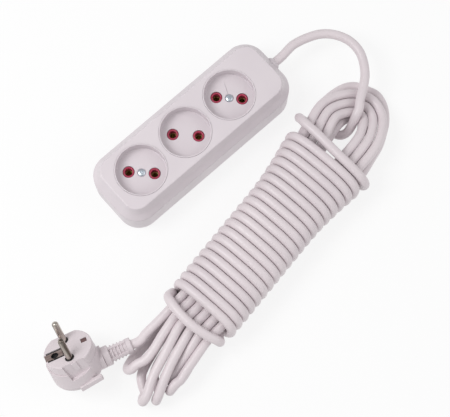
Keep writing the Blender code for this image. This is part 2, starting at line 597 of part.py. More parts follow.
def plug_insert():
    """Face of the plug: a disc with two flats, pin recesses and a slot for the earth clip."""
    bm = bmesh.new()
    cylinder(bm, FACE_R, -FACE_T, 0, sides=36)
    face = add("plug_insert", bm, SHELL_WHITE, PLUG)
    flats = bmesh.new()
    block(flats, (3 * FACE_R, 2 * FACE_FLAT, 3 * FACE_T), (0, 0, 0))
    boolean(face, add("face_flats", flats, None, PLUG), "INTERSECT")
    bevel(face, 0.0006, 1)
    cuts = bmesh.new()
    for side in (-1, 1):
        y = side * PIN_SPACING / 2
        cylinder(cuts, PIN_R + FIT, -PIN_ROOT - FIT, FIT, y=y, sides=20)
    boolean(face, add("pin_holes", cuts, None, PLUG))
    rings = bmesh.new()
    for side in (-1, 1):
        cylinder(rings, PIN_RECESS_R, -PIN_RECESS_DEPTH, FIT, y=side * PIN_SPACING / 2, sides=20)
    boolean(face, add("pin_recesses", rings, None, PLUG))
    slot = bmesh.new()
    inner_x = -EARTH_OFFSET + EARTH_HOLE_R + 3 * FIT + CLIP_T
    block(slot, (FACE_R + inner_x, CLIP_WIDTH + 2 * FIT, 2 * SLOT_DEPTH),
          ((inner_x - FACE_R) / 2, 0, 0))
    block(slot, (MARK_SIZE + 2 * FIT, MARK_SIZE + 2 * FIT, 2 * SLOT_DEPTH), (MARK_OFFSET, 0, 0))
    boolean(face, add("clip_slot", slot, None, PLUG))
    side_slot = bmesh.new()
    block(side_slot, (2 * (CLIP_T + FIT), CLIP_WIDTH + 2 * FIT, 4 * FACE_T), (-FACE_R, 0, 0))
    boolean(face, add("clip_side_slot", side_slot, None, PLUG))
    socket = bmesh.new()
    cylinder(socket, EARTH_HOLE_R, -FACE_T * 0.8, FIT, x=-EARTH_OFFSET, sides=20)
    boolean(face, add("earth_bore", socket, None, PLUG))
    return face


def earth_clips():
    """Bent strip round the earth hole and down the side, and the pad at the cord's side."""
    inner_x = -EARTH_OFFSET + EARTH_HOLE_R + 2 * FIT + CLIP_T
    low = -SLOT_DEPTH + FIT
    bm = bmesh.new()
    block(bm, (FACE_R + inner_x, CLIP_WIDTH, CLIP_T), ((inner_x - FACE_R) / 2, 0, low + CLIP_T / 2))
    clip = add("earth_clip_1", bm, NICKEL, PLUG)
    leg = bmesh.new()
    block(leg, (CLIP_T, CLIP_WIDTH, CLIP_LEG), (-FACE_R + CLIP_T / 2 - 0.0001, 0,
                                                 low + CLIP_T - CLIP_LEG / 2))
    boolean(clip, add("clip_leg", leg, None, PLUG), "UNION")
    hole = bmesh.new()
    cylinder(hole, EARTH_HOLE_R, low - FIT, FIT, x=-EARTH_OFFSET, sides=20)
    boolean(clip, add("clip_hole", hole, None, PLUG))
    pad = bmesh.new()
    block(pad, (MARK_SIZE, MARK_SIZE, CLIP_T), (MARK_OFFSET, 0, low + CLIP_T / 2))
    add("earth_clip_2", pad, NICKEL, PLUG)


def plug_pins():
    for i, side in enumerate((-1, 1)):
        place = PLUG @ Matrix.Translation((0, side * PIN_SPACING / 2, 0))
        turned(f"plug_pin_{i + 1}",
               [(0, PIN_LENGTH), (PIN_R * 0.55, PIN_LENGTH - 0.0002),
                (PIN_R * 0.88, PIN_LENGTH - 0.0008), (PIN_R, PIN_LENGTH - 0.0020),
                (PIN_R, -PIN_ROOT), (0, -PIN_ROOT)], NICKEL, place, 20)


def plug_body():
    """Moulded body: a round handle with a domed back, a neck towards the cord and a grip bar."""
    top = -FACE_T - FIT
    body = turned("plug_body", [(0, top), (BODY_R - 0.0006, top), (BODY_R, top - 0.0006),
                                (BODY_R, -BODY_DEPTH + BODY_ROUND)]
                  + [(BODY_R - BODY_ROUND + BODY_ROUND * cos(radians(a)),
                      -BODY_DEPTH + BODY_ROUND - BODY_ROUND * sin(radians(a)))
                     for a in (22.5, 45, 67.5, 90)] + [(0, -BODY_DEPTH)],
                  SHELL_WHITE, PLUG, 32)
    neck = bmesh.new()
    block(neck, (RELIEF_START - FIT, NECK_WIDTH, NECK_HEIGHT),
          ((RELIEF_START - FIT) / 2, 0, -max(RELIEF_DEPTH, 0) + 0.0012))
    neck_obj = add("plug_neck", neck, None, PLUG)
    bevel(neck_obj, 0.0020, 2)
    boolean(body, neck_obj, "UNION")
    grip = bmesh.new()
    block(grip, (GRIP_LENGTH, GRIP_SIZE, GRIP_SIZE), (0.0040, -BODY_R, -GRIP_DEPTH))
    boolean(body, add("grip_bar", grip, None, PLUG), "UNION")
    return body


def strain_relief():
    """Ribbed sleeve on the cord, turned about the cord's axis."""
    rib_zone = RELIEF_END - RELIEF_END_LENGTH - RELIEF_START - RELIEF_COLLAR_LENGTH
    pitch = rib_zone / RELIEF_RIBS
    profile = [(0, 0), (RELIEF_COLLAR_R - 0.0006, 0), (RELIEF_COLLAR_R, -0.0006),
               (RELIEF_COLLAR_R - 0.0003, -RELIEF_COLLAR_LENGTH)]
    for k in range(RELIEF_RIBS):
        at = -RELIEF_COLLAR_LENGTH - pitch * k
        taper = 0.0006 * k / (RELIEF_RIBS - 1)
        profile += [(RELIEF_CORE_R, at), (RELIEF_CORE_R, at - pitch * 0.45),
                    (RELIEF_RIB_R - taper, at - pitch * 0.50), (RELIEF_RIB_R - taper, at - pitch)]
    profile += [(RELIEF_END_R, -RELIEF_END + RELIEF_START + RELIEF_END_LENGTH),
                (RELIEF_END_R, -RELIEF_END + RELIEF_START + 0.0004),
                (RELIEF_END_R - 0.0004, -RELIEF_END + RELIEF_START), (0, -RELIEF_END + RELIEF_START)]
    place = (PLUG @ Matrix.Translation((RELIEF_START, 0, -RELIEF_DEPTH))
             @ Matrix.Rotation(-pi / 2, 4, "Y"))
    return turned("plug_strain_relief", profile, SHELL_WHITE, place, 15)


plug_insert()
earth_clips()
plug_pins()
plug_body()
strain_relief()
PLUG_EXIT = PLUG @ Vector((RELIEF_END + JOINT_GAP, 0, -RELIEF_DEPTH))


# ================================================================ cord
ALONG = Vector((cos(HANK_HEADING), sin(HANK_HEADING), 0))
ACROSS = Vector((-sin(HANK_HEADING), cos(HANK_HEADING), 0))
ORIGIN = Vector((*HANK_ORIGIN, 0))


def to_world(point):
    s, l, z = (v / 1000 for v in point)
    return ORIGIN + ALONG * s + ACROSS * l + Z * z


def to_hank(point):
    p = Vector(point) - ORIGIN
    return (p.dot(ALONG) * 1000, p.dot(ACROSS) * 1000, p.z * 1000)


def graded(table, at):
    """Value read off a table of (position, value)."""
    return float(np.interp(at, [row[0] for row in table], [row[1] for row in table]))


def wrap_point(turn):
    """Point of the winding: whole turns start at the left, go over the top and back underneath."""
    angle = pi * (1 - 2 * (turn % 1.0))
    power = 2 / RING_SQUARENESS
    across = copysign(abs(cos(angle)) ** power, cos(angle))
    up = copysign(abs(sin(angle)) ** power, sin(angle))
    start = (floor(turn) - 1) * WRAP_PITCH - TOP_ADVANCE / 2
    if turn % 1.0 <= 0.5:
        advance = TOP_ADVANCE * (1 + across) / 2
    else:
        advance = TOP_ADVANCE + (WRAP_PITCH - TOP_ADVANCE) * (1 - across) / 2
    at = (turn - 1) * WRAP_PITCH
    return (start + advance - graded(RING_LEAN, at) * up,
            graded(RING_HALF_WIDTH, at) * across, RING_Z + RING_HALF_HEIGHT * up)


def strand(number, row):
    """Stations of strand 1..6 from the throat to the bottom; row +1 is the upper one."""
    l = (number - 3.5) * STRAND_STEP
    crown = ROW_CROWN * (1 - (l / (2.5 * STRAND_STEP)) ** 2)
    z = RING_Z + row * (ROW_OFFSET + crown * (1.0 if row > 0 else 0.9))
    spread = 0.9 + 0.2 * abs(l) / (2.5 * STRAND_STEP)
    return [(s, l + copysign(graded(THROAT_SPREAD, s) * spread, l), z) for s in STRAND_STATIONS]


def inset(loop, distance):
    """Loop moved towards its inside by a distance, level by level."""
    moved = []
    for i, (s, l, z) in enumerate(loop):
        before, after = loop[max(i - 1, 0)], loop[min(i + 1, len(loop) - 1)]
        run = Vector((after[0] - before[0], after[1] - before[1])).normalized()
        moved.append((s - run.y * distance, l + run.x * distance, z))
    return moved


def bottom_turn(low, tip, height, top):
    """Stations of a turn on edge, from its low strand round its tip to its top strand."""
    tip_s, low_l, top_l, slope = tip
    radius = height / 2
    arc = []
    for k in range(5):
        a = k * pi / 4
        arc.append((tip_s - radius + radius * sin(a),
                    low_l + (top_l - low_l) * (1 - cos(a)) / 2 + slope * radius * sin(a),
                    FLOOR_Z + radius * (1 - cos(a))))
    return list(low) + arc + list(top)


def smooth(stations, step=1.0):
    """Centripetal Catmull-Rom curve through the stations, read about every step."""
    p = np.array(stations, dtype=float)
    p = np.vstack([2 * p[0] - p[1], p, 2 * p[-1] - p[-2]])
    out = []
    for p0, p1, p2, p3 in zip(p, p[1:], p[2:], p[3:]):
        t1 = np.linalg.norm(p1 - p0) ** 0.5
        t2 = t1 + np.linalg.norm(p2 - p1) ** 0.5
        t3 = t2 + np.linalg.norm(p3 - p2) ** 0.5
        for t in np.linspace(t1, t2, max(2, ceil(np.linalg.norm(p2 - p1) / step)), endpoint=False):
            a1 = (t1 - t) / t1 * p0 + t / t1 * p1
            a2 = (t2 - t) / (t2 - t1) * p1 + (t - t1) / (t2 - t1) * p2
            a3 = (t3 - t) / (t3 - t2) * p2 + (t - t2) / (t3 - t2) * p3
            b1 = (t2 - t) / t2 * a1 + t / t2 * a2
            b2 = (t3 - t) / (t3 - t1) * a2 + (t - t1) / (t3 - t1) * a3
            out.append((t2 - t) / (t2 - t1) * b1 + (t - t1) / (t2 - t1) * b2)
    out.append(p[-2])
    return np.array(out)


def thin(points, turn, longest):
    """Fewer points: one wherever the curve has turned by an angle or run a length."""
    kept, turned_by, run = [points[0]], 0.0, 0.0
    for before, here, after in zip(points, points[1:], points[2:]):
        a, b = here - before, after - here
        cosine = np.dot(a, b) / (np.linalg.norm(a) * np.linalg.norm(b))
        turned_by += acos(max(-1.0, min(1.0, cosine)))
        run += np.linalg.norm(a)
        if turned_by > turn or run > longest:
            kept.append(here)
            turned_by, run = 0.0, 0.0
    if np.linalg.norm(kept[-1] - points[-1]) < longest * 0.2 and len(kept) > 2:
        kept.pop()
    kept.append(points[-1])
    return kept


def trimmed(points, start=0.0, end=0.0):
    """Polyline shortened at either end."""
    points = [np.array(p) for p in points]
    for cut in (start, end):
        if cut:
            run = points[1] - points[0]
            points[0] = points[0] + run / np.linalg.norm(run) * cut
        points.reverse()
    return points


def lead_route():
    """From inside the block to the middle of the straight run under the hank."""
    outside_x = BLOCK_END_X + GROMMET_PROUD
    stations = [to_hank((CORD_START_X, 0, CORD_Z)), to_hank((CLAMP_X, 0, CORD_Z)),
                to_hank((outside_x, 0, CORD_Z)), to_hank((outside_x + 0.007, 0, CORD_Z))]
    stations += [to_hank(p) for p in LEAD_WORLD] + list(LEAD_DOWN)
    middle = tuple((a + b) / 2 for a, b in zip(LEAD_DOWN[-1], CROSS_END))
    return stations + [middle], middle


def winding_route(start):
    """First loose wrap, the close wraps, last loose wrap and into the lowest right strand."""
    wraps = [wrap_point(1 + k / WRAP_POINTS) for k in range(WRAPS * WRAP_POINTS + 1)]
    first = smooth([start, CROSS_END] + list(FIRST_WRAP) + wraps[:1])
    last = smooth(wraps[-1:] + list(LAST_WRAP) + strand(6, -1)[:-4:-1])
    last = [p for p in last if p[0] > JOINT_S or p[2] > RING_Z]
    turn = radians(22)
    return thin(first, turn, 18)[:-1] + [np.array(p) for p in wraps] + thin(last, turn, 18)[1:]


def loops_route():
    """Six long loops: through the wraps, round the eye, back, and round a bottom turn."""
    top_eye = [inset(EYE_TOP, k * TOP_INSET_STEP) for k in range(3)]
    low_eye = [inset(EYE_LOW, k * LOW_INSET_STEP) for k in range(2)] + [list(EYE_INNER)]
    turns = [bottom_turn(*b) for b in (BOTTOM_1, BOTTOM_2, BOTTOM_3, BOTTOM_4, BOTTOM_5)]
    low = {n: strand(n, -1) for n in range(1, 7)}
    top = {n: strand(n, 1) for n in range(1, 7)}
    start = [p for p in low[6] if p[0] < JOINT_S]
    stations = ([(JOINT_S, *low[6][-1][1:])] + start[::-1] + low_eye[0]
                + low[1] + turns[0] + top[2][::-1] + top_eye[1][::-1]
                + top[5] + turns[3][::-1] + low[4][::-1] + low_eye[2]
                + low[3] + turns[2] + top[4][::-1] + top_eye[2]
                + top[3] + turns[1][::-1] + low[2][::-1] + low_eye[1][::-1]
                + low[5] + turns[4] + top[6][::-1] + top_eye[0]
                + [p for p in top[1] if p[0] < JOINT_S] + [(JOINT_S, *top[1][-1][1:])])
    return thin(smooth(stations), radians(15), 24)


def tail_route():
    """From the upper left strand to the plug, square to its sleeve."""
    end = Vector(PLUG_EXIT)
    away = end + (PLUG.to_3x3() @ X) * 0.0066
    stations = [(JOINT_S, *strand(1, 1)[-1][1:])] + [p for p in strand(1, 1) if p[0] > JOINT_S]
    return stations + list(TAIL) + [to_hank(away), to_hank(end)]


lead_stations, CROSS_MIDDLE = lead_route()
GAP = JOINT_GAP * 1000 / 2
ROUTES = {
    "cord_lead": trimmed(thin(smooth(lead_stations), radians(14), 14), 0, GAP),
    "cord_winding": trimmed(winding_route(CROSS_MIDDLE), GAP, GAP),
    "cord_loops": trimmed(loops_route(), GAP, GAP),
    "cord_tail": trimmed(thin(smooth(tail_route()), radians(14), 14), GAP, 0),
}


def least_gap(points):
    """Least distance between parts of the tube's axis that aren't next to each other, less its width."""
    fine = []
    for a, b in zip(points, points[1:]):
        steps = max(1, ceil(np.linalg.norm(b - a)))
        fine += [a + (b - a) * k / steps for k in range(steps)]
    fine = np.array(fine + [points[-1]])
    along = np.concatenate([[0], np.cumsum(np.linalg.norm(np.diff(fine, axis=0), axis=1))])
    least = 1e9
    for i in range(len(fine)):
        far = along > along[i] + 5 * CORD_R * 1000
        if far.any():
            least = min(least, np.linalg.norm(fine[far] - fine[i], axis=1).min())
    return least - 2 * CORD_R * 1000


for name, route in ROUTES.items():
    wound = name in ("cord_winding", "cord_loops")
    curve_tube(name, [to_world(p) for p in route], CORD_R, CORD_WHITE, 1 if wound else 2)
    if wound:
        print(f"{name}: {len(route)} points, least gap to itself {least_gap(route):.2f} mm")
LENGTH = sum(np.linalg.norm(b - a) for route in ROUTES.values() for a, b in zip(route, route[1:]))
print(f"cord length {LENGTH / 1000:.2f} m")
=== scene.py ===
"""Dresses the extension cord: three-socket block, wound cord and angled plug."""

from contextlib import contextmanager
from math import acos, ceil, copysign, cos, floor, pi, radians, sin

import bmesh
import bpy
import numpy as np
from mathutils import Matrix, Vector


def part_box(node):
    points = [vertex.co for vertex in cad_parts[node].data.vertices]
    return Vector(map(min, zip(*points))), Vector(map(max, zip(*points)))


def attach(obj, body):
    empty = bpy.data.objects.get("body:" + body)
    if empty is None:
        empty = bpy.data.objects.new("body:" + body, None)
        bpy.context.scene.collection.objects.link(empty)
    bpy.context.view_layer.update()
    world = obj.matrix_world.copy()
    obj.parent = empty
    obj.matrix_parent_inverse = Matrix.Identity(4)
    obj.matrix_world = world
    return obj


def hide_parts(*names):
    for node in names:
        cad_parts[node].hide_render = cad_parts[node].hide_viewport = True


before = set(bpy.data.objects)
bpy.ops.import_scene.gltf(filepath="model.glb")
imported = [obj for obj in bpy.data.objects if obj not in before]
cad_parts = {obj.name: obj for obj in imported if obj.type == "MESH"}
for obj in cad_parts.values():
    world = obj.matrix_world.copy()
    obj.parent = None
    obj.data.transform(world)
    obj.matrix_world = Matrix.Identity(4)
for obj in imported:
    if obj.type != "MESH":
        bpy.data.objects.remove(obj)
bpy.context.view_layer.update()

MM = 0.001


# ================================================================ view and light
VIEW_TARGET = Vector((-0.01779, -0.05533, 0))
VIEW_HEADING = radians(48.282)
VIEW_DROP = radians(76.172)
VIEW_DISTANCE = 1.1128
LENS = 120
WORLD_STRENGTH = 0.59
KEY_PLACE, KEY_SIZE, KEY_POWER = (-0.55, 0.35, 0.95), 0.55, 6.5
FILL_PLACE, FILL_SIZE, FILL_POWER = (0.70, -0.75, 0.90), 0.9, 3.2
SURFACE_SIZE = 12
SURFACE_GREY = 0.86
SURFACE_WHITENING = 0.8         # how far the surface goes white to a ray that shows it


def set_camera():
    """Long lens that looks steeply down on the cord."""
    look = Vector((cos(VIEW_HEADING) * cos(VIEW_DROP), sin(VIEW_HEADING) * cos(VIEW_DROP),
                   -sin(VIEW_DROP)))
    bpy.ops.object.camera_add(location=VIEW_TARGET - look * VIEW_DISTANCE,
                              rotation=look.to_track_quat("-Z", "Y").to_euler())
    camera = bpy.context.object
    camera.data.lens = LENS
    camera.data.clip_end = 20
    bpy.context.scene.camera = camera


def softbox(name, place, size, power):
    """Square area lamp aimed at the middle of the cord."""
    aim = (VIEW_TARGET - Vector(place)).to_track_quat("-Z", "Y").to_euler()
    bpy.ops.object.light_add(type="AREA", location=place, rotation=aim)
    lamp = bpy.context.object
    lamp.name = name
    lamp.data.size = size
    lamp.data.energy = power


def node(tree, kind, settings=(), sockets=(), output=0):
    """Adds a shader node: its settings first, then the values or links of its sockets."""
    made = tree.nodes.new(kind)
    for key, value in dict(settings).items():
        if key == "stops":
            stops = made.color_ramp.elements
            while len(stops) < len(value):
                stops.new(0.5)
            for stop, (at, colour) in zip(stops, value):
                stop.position, stop.color = at, (*colour, 1)
        else:
            setattr(made, key, value)
    for key, value in dict(sockets).items():
        if isinstance(value, Field):
            tree.links.new(value.socket, made.inputs[key])
        else:
            made.inputs[key].default_value = value
    return Field(tree, made.outputs[output])


class Field:
    """Output socket of a shader node that Python arithmetic adds Math nodes to."""

    def __init__(self, tree, socket):
        self.tree, self.socket = tree, socket

    def maths(self, operation, *values):
        return node(self.tree, "ShaderNodeMath", {"operation": operation}, enumerate(values))

    def __add__(self, other):
        return self.maths("ADD", self, other)

    def __sub__(self, other):
        return self.maths("SUBTRACT", self, other)

    def __mul__(self, other):
        return self.maths("MULTIPLY", self, other)

    __radd__, __rmul__ = __add__, __mul__


class Finish:
    """Material whose one Principled shader takes its looks from fields over the surface."""

    def __init__(self, name, **fixed):
        self.material = bpy.data.materials.new(name)
        self.material.use_nodes = True
        self.tree = self.material.node_tree
        self.shader = self.tree.nodes["Principled BSDF"]
        self.feed({key.replace("_", " ").title(): value for key, value in fixed.items()})

    def feed(self, sockets):
        for key, value in sockets.items():
            if isinstance(value, Field):
                self.tree.links.new(value.socket, self.shader.inputs[key])
            else:
                self.shader.inputs[key].default_value = value

    def node(self, kind, settings=(), sockets=(), output=0):
        return node(self.tree, kind, settings, sockets, output)

    def own_frame(self, centre=(0, 0, 0), turn=(0, 0, 0), stretch=(1, 1, 1)):
        """Object coordinates in a frame of the pattern's own, drawn out along its axes."""
        at = self.node("ShaderNodeTexCoord", output=3)
        return self.node("ShaderNodeMapping", {"vector_type": "TEXTURE"},
                         {"Vector": at, "Location": centre, "Rotation": turn, "Scale": stretch})

    def noise(self, scale, detail=2.0, roughness=0.5, where=None):
        return self.node("ShaderNodeTexNoise", {}, {"Vector": where or self.own_frame(),
                         "Scale": scale, "Detail": detail, "Roughness": roughness})

    def ramp(self, value, low, high):
        """0 below low, 1 above high, straight between."""
        return self.node("ShaderNodeMapRange", {"clamp": True},
                         {"Value": value, "From Min": low, "From Max": high})

    def mix(self, factor, first, second):
        """Colour between two colours."""
        pair = [c if isinstance(c, Field) else (*c, 1) for c in (first, second)]
        return self.node("ShaderNodeMix", {"data_type": "RGBA"},
                         {0: factor, 6: pair[0], 7: pair[1]}, 2)

    def bump(self, height, distance):
        return self.node("ShaderNodeBump", {}, {"Height": height, "Distance": distance,
                                                "Strength": 1.0})


def moulded_plastic(name, colour, shade, roughness, grain=900):
    """Injection-moulded plastic: faint clouding, uneven gloss and a fine spark-eroded grain."""
    plastic = Finish(name)
    cloud = plastic.noise(28, 3)
    patches = plastic.noise(120, 2)
    plastic.feed({"Base Color": plastic.mix(plastic.ramp(cloud, 0.35, 0.65), colour, shade),
                  "Roughness": roughness + 0.10 * (patches - 0.5),
                  "Normal": plastic.bump(plastic.noise(grain, 3, 0.6), 0.00002)})
    return plastic.material


def cord_sheath():
    """Soft PVC sheath: a little duller than the mouldings, with faint handling marks."""
    sheath = Finish("cord_sheath")
    cloud = sheath.ramp(sheath.noise(20, 3), 0.35, 0.65)
    rub = sheath.ramp(sheath.noise(260, 4, 0.7), 0.58, 0.75)
    tone = sheath.mix(cloud, (0.715, 0.645, 0.667), (0.67, 0.602, 0.627))
    sheath.feed({"Base Color": sheath.mix(rub * 0.35, tone, (0.615, 0.547, 0.572)),
                 "Roughness": 0.40 + 0.12 * rub,
                 "Normal": sheath.bump(sheath.noise(700, 3, 0.6), 0.00003)})
    return sheath.material


def plated_metal(name, colour, tarnish_and_painted_reflection, roughness, wear_and_reflection_share=0.5, **frame_of_pattern):
    """Plated metal: drawn streaks along one direction and darker patches: duller plating, and on
    the bright nickel pins painted dark reflections.
    """
    metal = Finish(name, metallic=1.0)
    at = metal.own_frame(**frame_of_pattern)
    streaks = metal.noise(700, 3, 0.6, at)
    patches = metal.ramp(metal.noise(330, 3, 0.5, at), 0.42, 0.66)
    # The mix towards the darker colour is duller plating; where that colour is near black, as on
    # the pins, it is painted reflection.
    metal.feed({"Base Color": metal.mix(patches * wear_and_reflection_share, colour, tarnish_and_painted_reflection),
                "Roughness": roughness + 0.14 * metal.ramp(streaks, 0.4, 0.7) + 0.08 * patches,
                "Normal": metal.bump(streaks, 0.00001)})
    return metal.material


# ================================================================ handwork
SAME_POINT = 1e-7
PAST = 0.001                    # how far a cutting tool reaches past what it cuts


def alone(obj):
    """Select one object only and make it the active one."""
    bpy.ops.object.select_all(action="DESELECT")
    bpy.context.view_layer.objects.active = obj
    obj.select_set(True)


@contextmanager
def editing(obj, mode="FACE"):
    """Edit mode on one object, with nothing in it selected at the start."""
    alone(obj)
    bpy.ops.object.mode_set(mode="EDIT")
    bpy.ops.mesh.select_mode(type=mode)
    bpy.ops.mesh.select_all(action="DESELECT")
    yield
    bpy.ops.object.mode_set(mode="OBJECT")


def choose(kind, test):
    """In edit mode, select just the faces, edges or verts whose middle passes a test."""
    bpy.ops.mesh.select_all(action="DESELECT")
    mesh = bpy.context.edit_object.data
    bm = bmesh.from_edit_mesh(mesh)
    for item in getattr(bm, kind):
        corners = [item.co] if kind == "verts" else [v.co for v in item.verts]
        if test(sum(corners, Vector()) / len(corners), item):
            item.select_set(True)
    bm.select_flush_mode()
    bmesh.update_edit_mesh(mesh)


def level(z):
    """Test for what lies wholly at one height."""
    return lambda middle, item: all(abs(v.co.z - z) < 1e-6 for v in item.verts)


def primitive(add, name, **settings):
    """A primitive at its size and place, its transform applied."""
    bpy.ops.object.select_all(action="DESELECT")
    add(**settings)
    obj = bpy.context.object
    obj.name = obj.data.name = name
    bpy.ops.object.transform_apply()
    return obj


def drum(name, radius, low, high, x=0.0, y=0.0, sides=64):
    """Upright cylinder between two heights."""
    return primitive(bpy.ops.mesh.primitive_cylinder_add, name, vertices=sides, radius=radius,
                     depth=high - low, location=(x, y, (low + high) / 2))


def brick(name, size, middle, turn=0.0):
    """Rectangular block about its middle, turned about Z."""
    obj = primitive(bpy.ops.mesh.primitive_cube_add, name, size=1)
    with editing(obj):
        bpy.ops.mesh.select_all(action="SELECT")
        bpy.ops.transform.resize(value=size)
    obj.rotation_euler.z = turn
    obj.location = middle
    alone(obj)
    bpy.ops.object.transform_apply()
    return obj


def apply(obj, kind, **settings):
    """Adds a modifier and applies it."""
    alone(obj)
    made = obj.modifiers.new(kind.lower(), kind)
    for key, value in settings.items():
        setattr(made, key, value)
    bpy.ops.object.modifier_apply(modifier=made.name)


def carve(obj, *tools, operation="DIFFERENCE"):
    """Cuts the tools out of the object, or welds them on, and throws the tools away."""
    for tool in tools:
        apply(obj, "BOOLEAN", object=tool, operation=operation, solver="EXACT")
        bpy.data.objects.remove(tool, do_unlink=True)


def weld(obj, *tools):
    carve(obj, *tools, operation="UNION")


def joined(name, parts):
    """Several objects made one."""
    bpy.ops.object.select_all(action="DESELECT")
    for part in parts:
        part.select_set(True)
    bpy.context.view_layer.objects.active = parts[0]
    bpy.ops.object.join()
    parts[0].name = parts[0].data.name = name
    return parts[0]


def soften(obj, width, segments=2, angle=30):
    """Rounds the edges that turn sharply."""
    apply(obj, "BEVEL", width=width, segments=segments, limit_method="ANGLE",
          angle_limit=radians(angle), use_clamp_overlap=True)


def lathe(name, profile, steps=64, turn=Matrix()):
    """Body turned about Z from (radius, height) points, drawn by extruding one vertex."""
    obj = primitive(bpy.ops.mesh.primitive_plane_add, name, size=0.001)
    with editing(obj, "VERT"):
        bpy.ops.mesh.select_all(action="SELECT")
        bpy.ops.mesh.merge(type="CENTER")
        bpy.ops.transform.translate(value=(profile[0][0], 0, profile[0][1]))
        for (r0, z0), (r1, z1) in zip(profile, profile[1:]):
            bpy.ops.mesh.extrude_vertices_move(
                TRANSFORM_OT_translate={"value": (r1 - r0, 0, z1 - z0)})
        bpy.ops.mesh.select_all(action="SELECT")
        bpy.ops.mesh.spin(steps=steps, angle=2 * pi, center=(0, 0, 0), axis=(0, 0, 1))
        bpy.ops.mesh.select_all(action="SELECT")
        bpy.ops.mesh.remove_doubles(threshold=SAME_POINT)
        bpy.ops.mesh.normals_make_consistent(inside=False)
    place(obj, turn)
    return obj


def place(obj, matrix):
    """Moves a finished shape to its place and applies that to its mesh."""
    obj.matrix_world = matrix @ obj.matrix_world
    alone(obj)
    bpy.ops.object.transform_apply()
    return obj


def copy_of(obj, name, matrix):
    """A copy with its own mesh, at another place."""
    twin = obj.copy()
    twin.data = obj.data.copy()
    twin.name = twin.data.name = name
    bpy.context.collection.objects.link(twin)
    return place(twin, matrix)


def clean(obj):
    """Merges the points that a boolean leaves on top of each other."""
    with editing(obj):
        bpy.ops.mesh.select_all(action="SELECT")
        bpy.ops.mesh.remove_doubles(threshold=SAME_POINT)


def finished(obj, finish, stands_for=(), crease=35):
    """Shading, material, body, slot and the CAD nodes that the piece stands for."""
    alone(obj)
    if obj.type == "MESH":
        bpy.ops.object.shade_smooth_by_angle(angle=radians(crease))
        apply(obj, "WEIGHTED_NORMAL", keep_sharp=True, weight=50)
    obj.data.materials.clear()
    obj.data.materials.append(finish)
    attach(obj, "root")
    if stands_for:
        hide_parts(*stands_for)
    return obj


# ================================================================ cord
CORD_D = 0.0070
CORD_SIDES_LEVEL = 7            # bevel resolution: eighteen sides
MIN_CENTRE_Z = 3.55             # mm, so that the sheath rests on the surface
CURVE_STEP = 0.5                # mm between the points of a smooth curve
POINT_TURN = radians(6)         # turn and run (mm) after which the tube has a point
POINT_RUN = 3.5

# the hank's own frame, in mm: s along it from the eye, l across it, z up
HANK_ORIGIN = Vector((0.05385, -0.08184, 0))
HANK_HEADING = radians(-170.65)
ALONG = Vector((cos(HANK_HEADING), sin(HANK_HEADING), 0))
ACROSS = Vector((-sin(HANK_HEADING), cos(HANK_HEADING), 0))

WRAPS = 20
WRAP_POINTS = 120
WRAP_PITCH = 7.167
TOP_ADVANCE = 2.2
RING_Z = 17.45
RING_HALF_HEIGHT = 13.9
RING_SQUARENESS = 3.0
RING_HALF_WIDTH = ((-8, 31.8), (0, 31.2), (8, 30.1), (14, 29.0), (21, 27.9), (29, 26.9),
                   (36, 26.1), (43, 25.6), (55, 25.3), (150, 25.3))
RING_LEAN = ((0, 2.8), (60, 2.1), (140, 1.5))

STRAND_STEP = 7.1
ROW_OFFSET = 3.55
ROW_CROWN = 2.4
STRAND_STATIONS = (2, 14, 26, 40, 60, 90, 120, 134, 139)
THROAT_SPREAD = ((0, 4.4), (14, 2.2), (28, 0.7), (42, 0))

EYE_TOP = ((-12, 22.5, 22), (-30, 22.6, 20.5), (-41, 21, 18.2), (-51, 17, 15), (-58.5, 12, 12.3),
           (-63.5, 5.5, 10.8), (-65.8, -2, 10.4), (-64.8, -9, 10.6), (-61.5, -15.5, 11.4),
           (-56, -21, 13.2), (-48, -26, 15.8), (-38, -29, 19), (-28.4, -28.5, 20.8),
           (-12, -24.5, 22))
EYE_LOW = ((-12, 26, 13.6), (-30, 24, 11.2), (-41, 22.2, 8.4), (-51, 18.4, 5.2), (-59, 14.7, 3.9),
           (-66.3, 8.9, 3.6), (-70.5, 3.3, 3.6), (-72.9, -3.9, 3.6), (-71.3, -11.5, 3.6),
           (-68.3, -20.3, 3.6), (-63.9, -24.9, 3.7), (-58.8, -27.4, 4.3), (-49.6, -29.6, 6),
           (-38.1, -30, 10), (-28.4, -29, 12), (-12, -27, 13.6))
EYE_INNER = ((-12, 7.6, 13), (-30, 7.2, 11.4), (-38, 6.4, 8.6), (-44, 4.4, 5.6), (-48.5, 1, 4),
             (-49.8, -2.6, 3.6), (-48.6, -6, 3.9), (-44.5, -9.2, 5.4), (-38.5, -10.8, 8.4),
             (-30, -10.8, 11.2), (-12, -8.6, 13))
TOP_INSET_STEP = 7.2
LOW_INSET_STEP = 8.6

TURN_HEIGHT = 12.4
FLOOR_Z = 3.6
